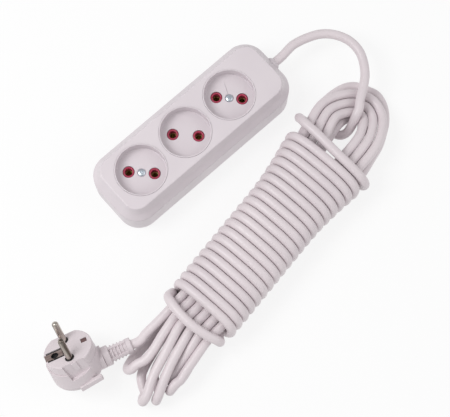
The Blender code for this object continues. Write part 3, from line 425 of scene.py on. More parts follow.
# for each turn: its low strand; its tip (s, low l, top l, slope); its height; its top strand
BOTTOM_1 = (((149, -18, 13), (163, -19.1, 8.2), (176, -18.4, 4.4), (188, -18.4, 3.6),
             (196, -18.9, 3.6)),
            (204.4, -18.6, -12.4, 0.0), TURN_HEIGHT,
            ((191.4, -9.3, 18.3), (183.5, -9.2, 19.5), (171.7, -10.7, 20.8), (160, -11.8, 21.6),
             (150, -12.2, 21.8)))
BOTTOM_2 = (((150, -11.5, 9.9), (163, -12, 7.5), (176, -11.3, 4.4), (187, -9.8, 3.6),
             (195, -8.4, 3.6), (201.5, -6, 3.6), (206.5, -0.8, 3.6)),
            (215.4, 3.6, 6.8, 0.3), TURN_HEIGHT,
            ((200, 3.2, 18), (191, 1, 19.6), (180, -1, 21.2), (170.4, -3.1, 22.3), (158, -5.3, 23),
             (150, -4.9, 23.2)))
BOTTOM_3 = (((150, -4.4, 9.2), (163, -4.75, 7.2), (176, -3.7, 4.2), (188, -2, 3.6),
             (196, 1.2, 3.6)),
            (208.8, 11.2, 12.8, 0.35), TURN_HEIGHT,
            ((194, 10, 18.7), (186, 7.8, 19.8), (177, 5.8, 21.1), (167, 4, 22), (157, 2.6, 22.8),
             (150, 2.3, 23)))
BOTTOM_4 = (((150, 2.8, 9.2), (163, 3.6, 7.2), (176, 5.6, 4.2)),
            (193, 7.2, 12.2, 0.0), 7.8,
            ((184.5, 12, 12.2), (178, 11.5, 14.2), (171.5, 10.8, 16.5), (164.7, 10.2, 18.8),
             (157, 9.6, 20.8), (150, 9.5, 21.5)))
BOTTOM_5 = (((150, 9.9, 9.9), (161, 12, 7.8), (171, 15.4, 4.6), (182, 17.6, 3.6)),
            (197.4, 16.9, 17.9, 0), TURN_HEIGHT,
            ((187, 19, 16.2), (180, 18.2, 17.3), (168, 17.3, 18.4), (158, 16.5, 19.2),
             (150, 16.4, 19.6)))

LEAD_WORLD = ((0.1026, 0.0009, 0.020), (0.1239, -0.0075, 0.020), (0.1339, -0.0222, 0.020),
              (0.1341, -0.0366, 0.020), (0.1256, -0.0512, 0.020), (0.1168, -0.0584, 0.020),
              (0.1085, -0.0640, 0.020))
LEAD_DOWN = ((-51.5, -5.4, 19.4), (-47.5, -4.3, 18.2), (-43.2, -3.3, 14.2), (-39.3, -2.7, 9),
             (-35, -3, 5.2), (-31.2, -5.4, 3.7), (-29.3, -9.4, 3.6))
CROSS_END = (-25, -22.2, 3.6)
FIRST_WRAP = ((-23.2, -28, 4.7), (-21.8, -33.3, 7), (-20.3, -35.6, 12), (-18.5, -35.8, 18),
              (-17, -34, 24), (-15.2, -28.8, 29), (-13.2, -13, 31.3), (-11.2, 2.5, 31.4),
              (-9.7, 17.5, 30.6), (-8.8, 28.8, 26.4), (-9, 33, 18), (-9, 32, 10),
              (-8.8, 26.5, 5.2), (-8.8, 12, 3.6), (-8.6, -12, 3.6), (-8, -25, 4.8),
              (-6.4, -31.6, 8.6))
LAST_WRAP = ((146.5, -25.2, 22.5), (149, -21, 27.6), (151.5, -12, 30.2), (153, 2, 30.5),
             (151.8, 14.5, 28.6), (149.4, 22.6, 24), (148.4, 24, 18.8), (146.2, 21.4, 14.6),
             (142.6, 18.3, 13.7))
TAIL = ((147, -18.6, 20.2), (157, -19, 18.8), (168, -20.2, 17.3), (177, -21.3, 16.2))

PLUG_LOCATION = (-0.1740, -0.0629, 0.0310)
PLUG_CORD_AXIS = (0.953, -0.298, 0.046)
PLUG_FACE_NORMAL = (0.149, 0.598, 0.788)
RELIEF_DEPTH = 0.0219
RELIEF_START = 0.0205
RELIEF_END = 0.0424
SLEEVE_LEAVE = 0.0066           # straight stretch of cord behind the sleeve


def axes(normal, along):
    """Frame with local Z on normal and local X as near to along as square to it."""
    z = Vector(normal).normalized()
    x = Vector(along)
    x = (x - x.dot(z) * z).normalized()
    return Matrix((x, z.cross(x), z)).transposed().to_4x4()


PLUG = Matrix.Translation(PLUG_LOCATION) @ axes(PLUG_FACE_NORMAL, PLUG_CORD_AXIS)
EXIT = Vector((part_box("cord_grommet")[1].x, 0, 0.0200))
CLAMPED_X = 0.0639              # where the cord lies in its clamp
EXIT_STRAIGHT = 0.007
CORD_START_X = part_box("cord_lead")[0].x


def to_world(point):
    s, l, z = point
    return HANK_ORIGIN + (ALONG * s + ACROSS * l + Vector((0, 0, max(z, MIN_CENTRE_Z)))) * MM


def to_hank(point):
    p = Vector(point) - HANK_ORIGIN
    return (p.dot(ALONG) / MM, p.dot(ACROSS) / MM, p.z / MM)


def graded(table, at):
    return float(np.interp(at, [row[0] for row in table], [row[1] for row in table]))


def wrap_point(turn):
    """Point of the winding: whole turns start at the left, go over the top and back underneath."""
    angle = pi * (1 - 2 * (turn % 1.0))
    power = 2 / RING_SQUARENESS
    across = copysign(abs(cos(angle)) ** power, cos(angle))
    up = copysign(abs(sin(angle)) ** power, sin(angle))
    start = (floor(turn) - 1) * WRAP_PITCH - TOP_ADVANCE / 2
    if turn % 1.0 <= 0.5:
        advance = TOP_ADVANCE * (1 + across) / 2
    else:
        advance = TOP_ADVANCE + (WRAP_PITCH - TOP_ADVANCE) * (1 - across) / 2
    at = (turn - 1) * WRAP_PITCH
    return (start + advance - graded(RING_LEAN, at) * up,
            graded(RING_HALF_WIDTH, at) * across, RING_Z + RING_HALF_HEIGHT * up)


def strand(number, row):
    """Stations of strand 1 to 6 from the throat to the bottom; row +1 is the upper one."""
    l = (number - 3.5) * STRAND_STEP
    crown = ROW_CROWN * (1 - (l / (2.5 * STRAND_STEP)) ** 2)
    z = RING_Z + row * (ROW_OFFSET + crown * (1.0 if row > 0 else 0.9))
    spread = 0.9 + 0.2 * abs(l) / (2.5 * STRAND_STEP)
    return [(s, l + copysign(graded(THROAT_SPREAD, s) * spread, l), z) for s in STRAND_STATIONS]


def inset(loop, distance):
    """Loop moved towards its inside by a distance, level by level."""
    moved = []
    for i, (s, l, z) in enumerate(loop):
        before, after = loop[max(i - 1, 0)], loop[min(i + 1, len(loop) - 1)]
        run = Vector((after[0] - before[0], after[1] - before[1])).normalized()
        moved.append((s - run.y * distance, l + run.x * distance, z))
    return moved


def bottom_turn(low, tip, height, top):
    """Stations of a turn on edge, from its low strand round its tip to its top strand."""
    tip_s, low_l, top_l, slope = tip
    radius = height / 2
    arc = []
    for k in range(5):
        a = k * pi / 4
        arc.append((tip_s - radius + radius * sin(a),
                    low_l + (top_l - low_l) * (1 - cos(a)) / 2 + slope * radius * sin(a),
                    FLOOR_Z + radius * (1 - cos(a))))
    return list(low) + arc + list(top)


def smooth(stations):
    """Centripetal Catmull-Rom curve through the stations, read about every CURVE_STEP."""
    p = np.array(stations, dtype=float)
    p = np.vstack([2 * p[0] - p[1], p, 2 * p[-1] - p[-2]])
    out = []
    for p0, p1, p2, p3 in zip(p, p[1:], p[2:], p[3:]):
        t1 = np.linalg.norm(p1 - p0) ** 0.5
        t2 = t1 + np.linalg.norm(p2 - p1) ** 0.5
        t3 = t2 + np.linalg.norm(p3 - p2) ** 0.5
        count = max(2, ceil(np.linalg.norm(p2 - p1) / CURVE_STEP))
        for t in np.linspace(t1, t2, count, endpoint=False):
            a1 = (t1 - t) / t1 * p0 + t / t1 * p1
            a2 = (t2 - t) / (t2 - t1) * p1 + (t - t1) / (t2 - t1) * p2
            a3 = (t3 - t) / (t3 - t2) * p2 + (t - t2) / (t3 - t2) * p3
            b1 = (t2 - t) / t2 * a1 + t / t2 * a2
            b2 = (t3 - t) / (t3 - t1) * a2 + (t - t1) / (t3 - t1) * a3
            out.append((t2 - t) / (t2 - t1) * b1 + (t - t1) / (t2 - t1) * b2)
    out.append(p[-2])
    return out


def thin(points, turn, longest):
    """Fewer points: one wherever the curve has turned by an angle or run a length."""
    kept, turned_by, run = [points[0]], 0.0, 0.0
    for before, here, after in zip(points, points[1:], points[2:]):
        a, b = here - before, after - here
        cosine = np.dot(a, b) / (np.linalg.norm(a) * np.linalg.norm(b))
        turned_by += acos(max(-1.0, min(1.0, cosine)))
        run += np.linalg.norm(a)
        if turned_by > turn or run > longest:
            kept.append(here)
            turned_by, run = 0.0, 0.0
    kept.append(points[-1])
    return kept


def lead_stations():
    """From inside the block, over the eye and down through it."""
    stations = [to_hank((CORD_START_X, 0, EXIT.z)), to_hank((CLAMPED_X, 0, EXIT.z)),
                to_hank(EXIT), to_hank(EXIT + Vector((EXIT_STRAIGHT, 0, 0)))]
    return stations + [to_hank(p) for p in LEAD_WORLD] + list(LEAD_DOWN)


def loop_stations():
    """Six long loops: through the wraps, round the eye, back, and round a bottom turn."""
    top_eye = [inset(EYE_TOP, k * TOP_INSET_STEP) for k in range(3)]
    low_eye = [inset(EYE_LOW, k * LOW_INSET_STEP) for k in range(2)] + [list(EYE_INNER)]
    turns = [bottom_turn(*b) for b in (BOTTOM_1, BOTTOM_2, BOTTOM_3, BOTTOM_4, BOTTOM_5)]
    low = {n: strand(n, -1) for n in range(1, 7)}
    top = {n: strand(n, 1) for n in range(1, 7)}
    return (low[6][::-1] + low_eye[0]
            + low[1] + turns[0] + top[2][::-1] + top_eye[1][::-1]
            + top[5] + turns[3][::-1] + low[4][::-1] + low_eye[2]
            + low[3] + turns[2] + top[4][::-1] + top_eye[2]
            + top[3] + turns[1][::-1] + low[2][::-1] + low_eye[1][::-1]
            + low[5] + turns[4] + top[6][::-1] + top_eye[0] + top[1])


def cord_route():
    """The whole cord, from the block's clamp to the plug's sleeve."""
    wraps = [wrap_point(1 + k / WRAP_POINTS) for k in range(WRAPS * WRAP_POINTS + 1)]
    before = smooth(lead_stations() + [CROSS_END] + list(FIRST_WRAP) + wraps[:1])
    sleeve = PLUG @ Vector((RELIEF_END, 0, -RELIEF_DEPTH))
    leave = (PLUG.to_3x3() @ Vector((1, 0, 0))) * SLEEVE_LEAVE
    ending = list(TAIL) + [to_hank(sleeve + leave), to_hank(sleeve), to_hank(sleeve - leave * 0.4)]
    after = smooth(wraps[-1:] + list(LAST_WRAP) + loop_stations() + ending)
    return before[:-1] + [np.array(p) for p in wraps[:-1]] + after


def wound_cord(sheath):
    """The cord as one tube, its filled ends hidden in the block and in the sleeve."""
    points = [to_world(p) for p in thin(cord_route(), POINT_TURN, POINT_RUN)]
    bpy.ops.object.select_all(action="DESELECT")
    bpy.ops.curve.primitive_nurbs_path_add()
    cord = bpy.context.object
    cord.name = cord.data.name = "cord"
    cord.data.splines.clear()
    path = cord.data.splines.new("POLY")
    path.points.add(len(points) - 1)
    for vertex, point in zip(path.points, points):
        vertex.co = (*point, 1)
    path.use_smooth = True
    cord.data.bevel_depth = CORD_D / 2
    cord.data.bevel_resolution = CORD_SIDES_LEVEL
    cord.data.use_fill_caps = True
    return finished(cord, sheath,
                    ("cord_lead", "cord_winding", "cord_loops", "cord_tail"))


# ================================================================ socket block
cover_low, cover_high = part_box("top_cover")
BLOCK_X = (cover_low.x + cover_high.x) / 2
BLOCK_LENGTH = cover_high.x - cover_low.x
BLOCK_WIDTH = cover_high.y - cover_low.y
BLOCK_END_X = cover_high.x
BLOCK_TOP = 0.0360
SEAM_Z = 0.0234
SEAM_GAP = 0.0003
CREASE_Z = 0.0290
CREASE_IN = 0.0036
TOP_IN = 0.0058
TOP_ROUND = 0.0013
CORNER_R = 0.0168
WALL = 0.0022
SOCKETS = [(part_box(f"contact_carrier_{i}")[0].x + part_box(f"contact_carrier_{i}")[1].x) / 2
           for i in (1, 2, 3)]
WELL_R = 0.0186
WELL_FLOOR_Z = 0.0276
WELL_FLOOR_T = 0.0018
WELL_WALL = 0.0016
LIP_WIDTH = 0.0009
LIP_TOP = 0.0364
LIP_GAP = 0.0001                # hair line between a cup's lip and the cover
PIN_STEP = 0.0190 / 2 * sin(pi / 4)     # each hole from the socket's middle, along X and along Y
COLLAR_R = 0.00415
PIN_HOLE_R = 0.00275
CARRIER_TOP_Z = 0.0255
CARRIER_T = 0.0045
SCREW_SEAT_R = 0.0033           # shallow seat of a cover screw in a well's floor
SCREW_SEAT_DEPTH = 0.0003
SHANK_HOLE_R = 0.0017
OUTLET_R = 0.0055               # hole that the cord's collar fits in
BASE_FLOOR_T = 0.0020
FITTING_ROOT_Z = 0.0015         # posts and rests start inside the floor
POST_R, POST_TOP_Z = 0.0027, 0.0207
CLAMP_POST_R, CLAMP_POST_TOP_Z, CLAMP_POST_Y = 0.0030, 0.0231, 0.0085
CLAMP_IN = 0.0150               # from the end of the block to its cord clamp
SADDLE_SIZE, SADDLE_Z = (0.0080, 0.0100, 0.0150), 0.0090
REST_SIZE, REST_Z = (0.0062, 0.0068, 0.0052), 0.0041
CARRIER_SIZE = (0.0310, 0.0130, CARRIER_T)
MOULD_EDGE = 0.00022            # rounding of the edges where the two halves meet
FIT = 0.0003


def plan_body(name, z, draw_in, rise, levels, way=1):
    """Closed body on the block's rounded plan, inset and raised (or sunk) level by level."""
    obj = primitive(bpy.ops.mesh.primitive_plane_add, name, size=1, location=(BLOCK_X, 0, z),
                    rotation=(0 if way > 0 else pi, 0, 0))
    with editing(obj, "VERT"):
        bpy.ops.mesh.select_all(action="SELECT")
        bpy.ops.transform.resize(value=(BLOCK_LENGTH - 2 * draw_in, BLOCK_WIDTH - 2 * draw_in, 1),
                                 center_override=(BLOCK_X, 0, z))
        bpy.ops.mesh.bevel(offset=CORNER_R - draw_in, segments=14, affect="VERTICES")
        bpy.ops.mesh.select_mode(type="FACE")
        bpy.ops.mesh.select_all(action="SELECT")
        bpy.ops.mesh.extrude_region_move(TRANSFORM_OT_translate={"value": (0, 0, way * rise)})
        for inward, up in levels:
            bpy.ops.mesh.inset(thickness=inward, depth=up)
        bpy.ops.mesh.select_all(action="SELECT")
        bpy.ops.mesh.normals_make_consistent(inside=False)
    return obj


def rounded_rim(radius, steps=4):
    """Inset steps that carry a face over a quarter round."""
    at = [(radius * (1 - cos(k / steps * pi / 2)), radius * sin(k / steps * pi / 2))
          for k in range(steps + 1)]
    return [(b[0] - a[0], b[1] - a[1]) for a, b in zip(at, at[1:])]


def housing_cover(plastic):
    """Upper half: drawn-in flanks and a round mouth for each well."""
    rim = SEAM_Z + SEAM_GAP / 2
    lip = 0.0005
    shoulder = BLOCK_TOP - TOP_ROUND
    shell = plan_body("housing_cover", rim, 0, lip,
                      [(CREASE_IN, CREASE_Z - rim - lip),
                       (TOP_IN - 0.0003 - CREASE_IN, shoulder - CREASE_Z)] + rounded_rim(TOP_ROUND))
    with editing(shell, "EDGE"):
        choose("edges", level(CREASE_Z))
        bpy.ops.mesh.bevel(offset=0.0012, segments=3)
    hollow = plan_body("cover_hollow", rim - PAST, WALL, PAST,
                       [(CREASE_IN, CREASE_Z - WALL / 2 - rim),
                        (TOP_IN - CREASE_IN, BLOCK_TOP - CREASE_Z - WALL / 2)])
    carve(shell, hollow)
    mouths = [drum("mouth", WELL_R + LIP_WIDTH + LIP_GAP, BLOCK_TOP - 2 * WALL, LIP_TOP + WALL,
                   x, sides=96) for x in SOCKETS]
    carve(shell, joined("mouths", mouths), cord_hole())
    soften(shell, MOULD_EDGE, 2, 40)
    return finished(shell, plastic, ("top_cover",))


def socket_cups(plastic):
    """Round wells with a thin raised lip, holes for the pins and a seat for a cover screw."""
    low = WELL_FLOOR_Z - WELL_FLOOR_T
    shoulder = BLOCK_TOP - WALL - FIT
    edge = 0.0003
    blank = lathe("cup", [(0, WELL_FLOOR_Z), (WELL_R - 0.0006, WELL_FLOOR_Z),
                          (WELL_R - 0.0002, WELL_FLOOR_Z + 0.0002), (WELL_R, WELL_FLOOR_Z + 0.0006),
                          (WELL_R, LIP_TOP - edge), (WELL_R + edge * 0.3, LIP_TOP - edge * 0.3),
                          (WELL_R + edge, LIP_TOP), (WELL_R + LIP_WIDTH - edge, LIP_TOP),
                          (WELL_R + LIP_WIDTH - edge * 0.3, LIP_TOP - edge * 0.3),
                          (WELL_R + LIP_WIDTH, LIP_TOP - edge), (WELL_R + LIP_WIDTH, shoulder),
                          (WELL_R + WELL_WALL, shoulder), (WELL_R + WELL_WALL, low), (0, low)], 96)
    holes = [drum("hole", COLLAR_R + FIT, CARRIER_TOP_Z, WELL_FLOOR_Z + WALL, side * PIN_STEP,
                  -side * PIN_STEP, 48) for side in (-1, 1)]
    carve(blank, *holes)
    for i, x in enumerate(SOCKETS):
        cup = copy_of(blank, f"socket_cup_{i + 1}_shell", Matrix.Translation((x, 0, 0)))
        if x != SOCKETS[1]:
            carve(cup, drum("seat", SCREW_SEAT_R, WELL_FLOOR_Z - SCREW_SEAT_DEPTH,
                            WELL_FLOOR_Z + WALL, x, sides=48),
                  drum("shank_hole", SHANK_HOLE_R, CARRIER_TOP_Z, WELL_FLOOR_Z, x, sides=24))
        finished(cup, plastic, (f"socket_cup_{i + 1}",))
    bpy.data.objects.remove(blank, do_unlink=True)


def cord_hole():
    """Tool for the round outlet in the end wall."""
    hole = drum("cord_hole", OUTLET_R + FIT, -0.005, 0.005, sides=64)
    return place(hole, Matrix.Translation((BLOCK_END_X - WALL, 0, EXIT.z))
                 @ Matrix.Rotation(pi / 2, 4, "Y"))


def housing_base(plastic):
    """Lower half: a tray with screw posts and a saddle for the cord."""
    rim = SEAM_Z - SEAM_GAP / 2
    foot = 0.0009
    tray = plan_body("housing_base", rim, 0, 0.0005,
                     [(0.0003, rim - 0.0005 - foot)] + rounded_rim(foot, 3), way=-1)
    hollow = plan_body("tray_hollow", rim + PAST, WALL, PAST + rim - BASE_FLOOR_T, [], way=-1)
    carve(tray, hollow)
    fittings = [drum("post", POST_R, FITTING_ROOT_Z, POST_TOP_Z, x, sides=32)
                for x in (SOCKETS[0], SOCKETS[-1])]
    clamp_x = BLOCK_END_X - CLAMP_IN
    fittings += [drum("post", CLAMP_POST_R, FITTING_ROOT_Z, CLAMP_POST_TOP_Z, clamp_x,
                      side * CLAMP_POST_Y, 32) for side in (-1, 1)]
    fittings.append(brick("saddle", SADDLE_SIZE, (clamp_x, 0, SADDLE_Z)))
    for x in SOCKETS:
        for side in (-1, 1):
            fittings.append(brick("rest", REST_SIZE,
                                  (x + side * PIN_STEP, -side * PIN_STEP, REST_Z)))
    weld(tray, joined("fittings", fittings))
    carve(tray, cord_hole())
    soften(tray, MOULD_EDGE, 2, 40)
    return finished(tray, plastic, ("base",))


def contact_carriers(red):
    """Red inserts: a bar under each well with a round-edged collar for each pin."""
    low = CARRIER_TOP_Z - CARRIER_T
    mouth = WELL_FLOOR_Z - 0.0003
    bar = brick("carrier", CARRIER_SIZE, (0, 0, low + CARRIER_T / 2), -pi / 4)
    edge = 0.0006
    root = low + 0.001
    ring = lathe("collar", [(PIN_HOLE_R, root), (COLLAR_R, root),
                            (COLLAR_R, mouth - edge)]
                 + [(COLLAR_R - edge * (1 - cos(a)), mouth - edge + edge * sin(a))
                    for a in (pi / 8, pi / 4, 3 * pi / 8, pi / 2)]
                 + [(PIN_HOLE_R + edge * (1 - sin(a)), mouth - edge * (1 - cos(a)))
                    for a in (0, pi / 8, pi / 4, 3 * pi / 8, pi / 2)]
                 + [(PIN_HOLE_R, root)], 48)
    for side in (-1, 1):
        at = Matrix.Translation((side * PIN_STEP, -side * PIN_STEP, 0))
        carve(bar, drum("bore", PIN_HOLE_R + 0.0002, low - PAST, CARRIER_TOP_Z + PAST,
                        side * PIN_STEP, -side * PIN_STEP, 48))
        weld(bar, copy_of(ring, "collar", at))
    carve(bar, drum("bore", SHANK_HOLE_R, low - PAST, CARRIER_TOP_Z + PAST, sides=24))
    soften(bar, 0.0002, 2, 50)
    bpy.data.objects.remove(ring)
    for i, x in enumerate(SOCKETS):
        insert = copy_of(bar, f"red_insert_{i + 1}", Matrix.Translation((x, 0, 0)))
        finished(insert, red, (f"contact_carrier_{i + 1}",))
    bpy.data.objects.remove(bar)


def cover_screws(zinc):
    """Pan-head screws with a cross recess, one in each end well."""
    head_r, head_h, shank_r, length = 0.00295, 0.0014, 0.0014, 0.0140
    thread_start, thread_pitch, thread_depth = 0.0020, 0.0009, 0.0003
    crown = [(head_r * sin(a), head_h * (0.25 + 0.75 * cos(a)))
             for a in (0, pi / 10, pi / 5, 3 * pi / 10, 2 * pi / 5, pi / 2)]
    thread = []
    for k in range(12):
        z = -thread_start - thread_pitch * k
        thread += [(shank_r, z), (shank_r - thread_depth, z - thread_pitch / 2)]
    screw = lathe("screw", crown + [(head_r, 0), (shank_r, 0)] + thread + [(0, -length)], 40)
    for turn in (0.4, 0.4 + pi / 2):
        wing = brick("wing", (head_r * 1.30, head_r * 0.26, 0.0016), (0, 0, head_h))
        with editing(wing):
            choose("faces", lambda middle, face: face.normal.z < -0.9)
            bpy.ops.transform.resize(value=(0.45, 0.8, 1), center_override=(0, 0, 0))
        carve(screw, place(wing, Matrix.Rotation(turn, 4, "Z")))
    clean(screw)
    soften(screw, 0.00008, 2, 45)
    seat = WELL_FLOOR_Z - SCREW_SEAT_DEPTH + 0.00005
    for i, x in enumerate((SOCKETS[0], SOCKETS[-1])):
        at = Matrix.Translation((x, 0, seat)) @ Matrix.Rotation(0.9 * i, 4, "Z")
        finished(copy_of(screw, f"screw_{i + 1}", at), zinc, (f"cover_screw_{i + 1}",))
    bpy.data.objects.remove(screw)


def grommet(plastic):
    """Stepped collar that the cord leaves through."""
    proud = EXIT.x
    bore = CORD_D / 2 + 0.00005
    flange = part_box("cord_grommet")[0].x - proud
    flange_r, flange_t = 0.0068, 0.0015
    profile = [(bore, -0.0003), (bore + 0.0003, 0), (0.0044, 0), (0.0047, -0.0003),
               (0.0047, -0.0009), (0.0051, -0.0009), (OUTLET_R, -0.0013),
               (OUTLET_R, flange + flange_t), (flange_r, flange + flange_t),
               (flange_r, flange), (bore, flange), (bore, -0.0003)]
    ring = lathe("grommet", profile, 64, Matrix.Translation(EXIT) @ Matrix.Rotation(pi / 2, 4, "Y"))
    return finished(ring, plastic, ("cord_grommet",))


# ================================================================ plug
# the plug's own frame: +X towards the cord, +Z the way the pins point, the face at height 0
FACE_R = 0.0181
FACE_X = 0.0006                 # the rim's middle lies a little towards the cord
FACE_T = 0.0080
FAR_FLAT_Y = 0.0156
GUIDE_Y = -0.0152               # wall of the guide recess on the near side
GUIDE_CORNER = (-0.0049, -0.0140)       # lower corner of the recess, x and z
GUIDE_SIZE = (0.0160, 0.0260)
GUIDE_TILT = radians(-10)
BODY_R = 0.0187
BODY_DEPTH = 0.0270
BODY_ROUND = 0.0058
PIN_R = 0.0024
PIN_LENGTH = 0.0190
PIN_ROOT = 0.0060
PIN_OFFSET = 0.0095
GASKET_R, GASKET_DEPTH = 0.0034, 0.0010
EARTH_X, EARTH_Y = -0.0095, -0.0009
EARTH_R = 0.0028
CORE_SIZE = (0.0128, 0.0096)
CORE_AT = (-0.0088, -0.0006)
CORE_TOP, CORE_T = -0.0005, 0.0026
EARTH_DEPTH = 0.0019            # of the hole in the core
STRIP_WIDTH = 0.0064
STRIP_T = 0.0005
STRIP_TOP = -0.00015
STRIP_INNER_X = -0.0036
RIM_X = FACE_X - FACE_R
STRIP_LEG = 0.0050
PAD_X, PAD_Y, PAD_SIZE = 0.0133, 0.0016, 0.0042
TAB_R, TAB_T, TAB_LENGTH = 0.0019, 0.0017, 0.0060
TAB_AT = (0.0021, GUIDE_Y + 0.0008, -0.0063)
SLOT_PLAY = 0.0001              # between a part and the sides of the slot it lies in
NECK_SIZE, NECK_EDGE = (RELIEF_START, 0.0170, 0.0110), 0.0032
NECK_Z = 0.0012 - RELIEF_DEPTH
GRIP_SIZE, GRIP_AT, GRIP_EDGE = (0.0178, 0.0034, 0.0042), (0.0065, -0.0183, -0.0222), 0.0007
GRIP_TILT = GUIDE_TILT * 0.8
SLEEVE_COLLAR = 0.0050
SLEEVE_RIBS, SLEEVE_RIB_R, SLEEVE_CORE_R = 5, 0.0064, 0.0050
SLEEVE_WINDOW = 0.60            # share of a rib's pitch that is open
SLEEVE_TAPER = 0.0006
SLEEVE_END_R, SLEEVE_END_LENGTH = 0.0058, 0.0036


def guide_tool():
    """Block that cuts the guide recess, turned a little with the side of the plug."""
    wide, tall = GUIDE_SIZE
    tool = brick("guide", (wide, 0.010, tall), (wide / 2, GUIDE_Y - 0.005, tall / 2))
    x, z = GUIDE_CORNER
    return place(tool, Matrix.Translation((x, 0, z)) @ Matrix.Rotation(GUIDE_TILT, 4, "Y"))


def plug_face(plastic):
    """Round face: a flat at its far side and a guide recess at its near one."""
    face = drum("plug_face", FACE_R, -FACE_T, 0, FACE_X, sides=96)
    with editing(face):
        bpy.ops.mesh.select_all(action="SELECT")
        bpy.ops.mesh.bisect(plane_co=(0, FAR_FLAT_Y, 0), plane_no=(0, 1, 0), use_fill=True,
                            clear_outer=True)
    with editing(face, "EDGE"):
        choose("edges", level(0))
        bpy.ops.mesh.bevel(offset=0.0010, segments=4)
    cuts = [drum("pin_hole", PIN_R + SLOT_PLAY, -PIN_ROOT - FIT, PAST, 0, side * PIN_OFFSET, 48)
            for side in (-1, 1)]
    cuts += [drum("recess", GASKET_R + SLOT_PLAY, -GASKET_DEPTH, PAST, 0, side * PIN_OFFSET, 48)
             for side in (-1, 1)]
    play = 2 * SLOT_PLAY
    strip_slot = STRIP_WIDTH + 2 * play
    cuts.append(brick("core_slot", (CORE_SIZE[0] + play, CORE_SIZE[1] + play, 0.0060),
                      (*CORE_AT, 0)))
    cuts.append(brick("rim_slot", (0.0060, strip_slot, 0.0024), (RIM_X, CORE_AT[1], 0)))
    cuts.append(brick("side_slot", (0.0012, strip_slot, 0.0300), (RIM_X, CORE_AT[1], 0)))
    cuts.append(brick("pad_slot", (PAD_SIZE + play, PAD_SIZE + play, 0.0020), (PAD_X, PAD_Y, 0)))
    carve(face, guide_tool(), *cuts)
    soften(face, 0.0003, 2, 50)
    return finished(place(face, PLUG), plastic, ("plug_insert",))


def guide_tab(plastic):
    """Small raised tab with a round end on the wall of the guide recess."""
    tab = place(drum("guide_tab", TAB_R, 0, TAB_T, sides=40), Matrix.Rotation(pi / 2, 4, "X"))
    weld(tab, brick("tab_top", (2 * TAB_R, TAB_T, TAB_LENGTH), (0, -TAB_T / 2, TAB_LENGTH / 2)))
    clean(tab)
    soften(tab, 0.0005, 3, 40)
    at = Matrix.Translation(TAB_AT) @ Matrix.Rotation(GUIDE_TILT, 4, "Y")
    return finished(place(tab, PLUG @ at), plastic)


def dark_parts(black):
    """Black block under the sprung strip, painted shade that makes the deep slot round the strip
    read black, and a dark ring round the root of each pin.
    """
    # Painted shade: a black block that makes the slot beside the strip and the earth hole read
    # black.
    block = brick("slot_shade_block", (*CORE_SIZE, CORE_T), (*CORE_AT, CORE_TOP - CORE_T / 2))
    carve(block, drum("earth_bore", EARTH_R - 0.0002, CORE_TOP - EARTH_DEPTH, PAST,
                      EARTH_X, EARTH_Y, 48))
    soften(block, 0.0003, 2, 50)
    finished(place(block, PLUG), black)
    bore = PIN_R + 0.00005
    ring = lathe("gasket", [(bore, -GASKET_DEPTH), (GASKET_R, -GASKET_DEPTH), (GASKET_R, 0),
                            (GASKET_R - 0.0003, 0.0004), (GASKET_R - 0.0006, 0.0004),
                            (bore, 0.0001), (bore, -GASKET_DEPTH)], 48)
    for i, side in enumerate((-1, 1)):
        at = PLUG @ Matrix.Translation((0, side * PIN_OFFSET, 0))
        finished(copy_of(ring, f"pin_gasket_{i + 1}", at), black)
    bpy.data.objects.remove(ring)


def plug_pins(nickel):
    """Round pins with a turned nose."""
    nose = 0.0020
    profile = [(0, PIN_LENGTH), (PIN_R * 0.45, PIN_LENGTH - 0.00015),
               (PIN_R * 0.72, PIN_LENGTH - 0.0005), (PIN_R * 0.90, PIN_LENGTH - 0.0011),
               (PIN_R, PIN_LENGTH - nose), (PIN_R, 0.0060), (PIN_R, -PIN_ROOT), (0, -PIN_ROOT)]
    pin = lathe("pin", profile, 48)
    for i, side in enumerate((-1, 1)):
        at = PLUG @ Matrix.Translation((0, side * PIN_OFFSET, 0))
        finished(copy_of(pin, f"pin_{i + 1}", at), nickel, (f"plug_pin_{i + 1}",))
    bpy.data.objects.remove(pin)


def earth_parts(nickel, dark_metal):
    """Sprung strip round the earth hole, bent down at the rim, and the pad near the cord."""
    low = STRIP_TOP - STRIP_T
    start = RIM_X + 0.0013
    strip = brick("earth_strip", (STRIP_INNER_X - start, STRIP_WIDTH, STRIP_T),
                  ((STRIP_INNER_X + start) / 2, CORE_AT[1], STRIP_TOP - STRIP_T / 2))
    with editing(strip):
        choose("faces", lambda middle, face: face.normal.x < -0.9)
        bpy.ops.mesh.extrude_region_move(TRANSFORM_OT_translate={"value": (-STRIP_T, 0, 0)})
        choose("faces", lambda middle, face: face.normal.z < -0.9 and middle.x < start)
        bpy.ops.mesh.extrude_region_move(TRANSFORM_OT_translate={"value": (0, 0, -STRIP_LEG)})
    carve(strip, drum("strip_hole", EARTH_R, low - FIT, FIT, EARTH_X, EARTH_Y, 48))
    soften(strip, 0.00015, 2, 40)
    finished(place(strip, PLUG), nickel, ("earth_clip_1",))
    pad = brick("earth_pad", (PAD_SIZE, PAD_SIZE, 0.0006), (PAD_X, PAD_Y, -0.0007))
    soften(pad, 0.0002, 2, 40)
    finished(place(pad, PLUG), dark_metal, ("earth_clip_2",))


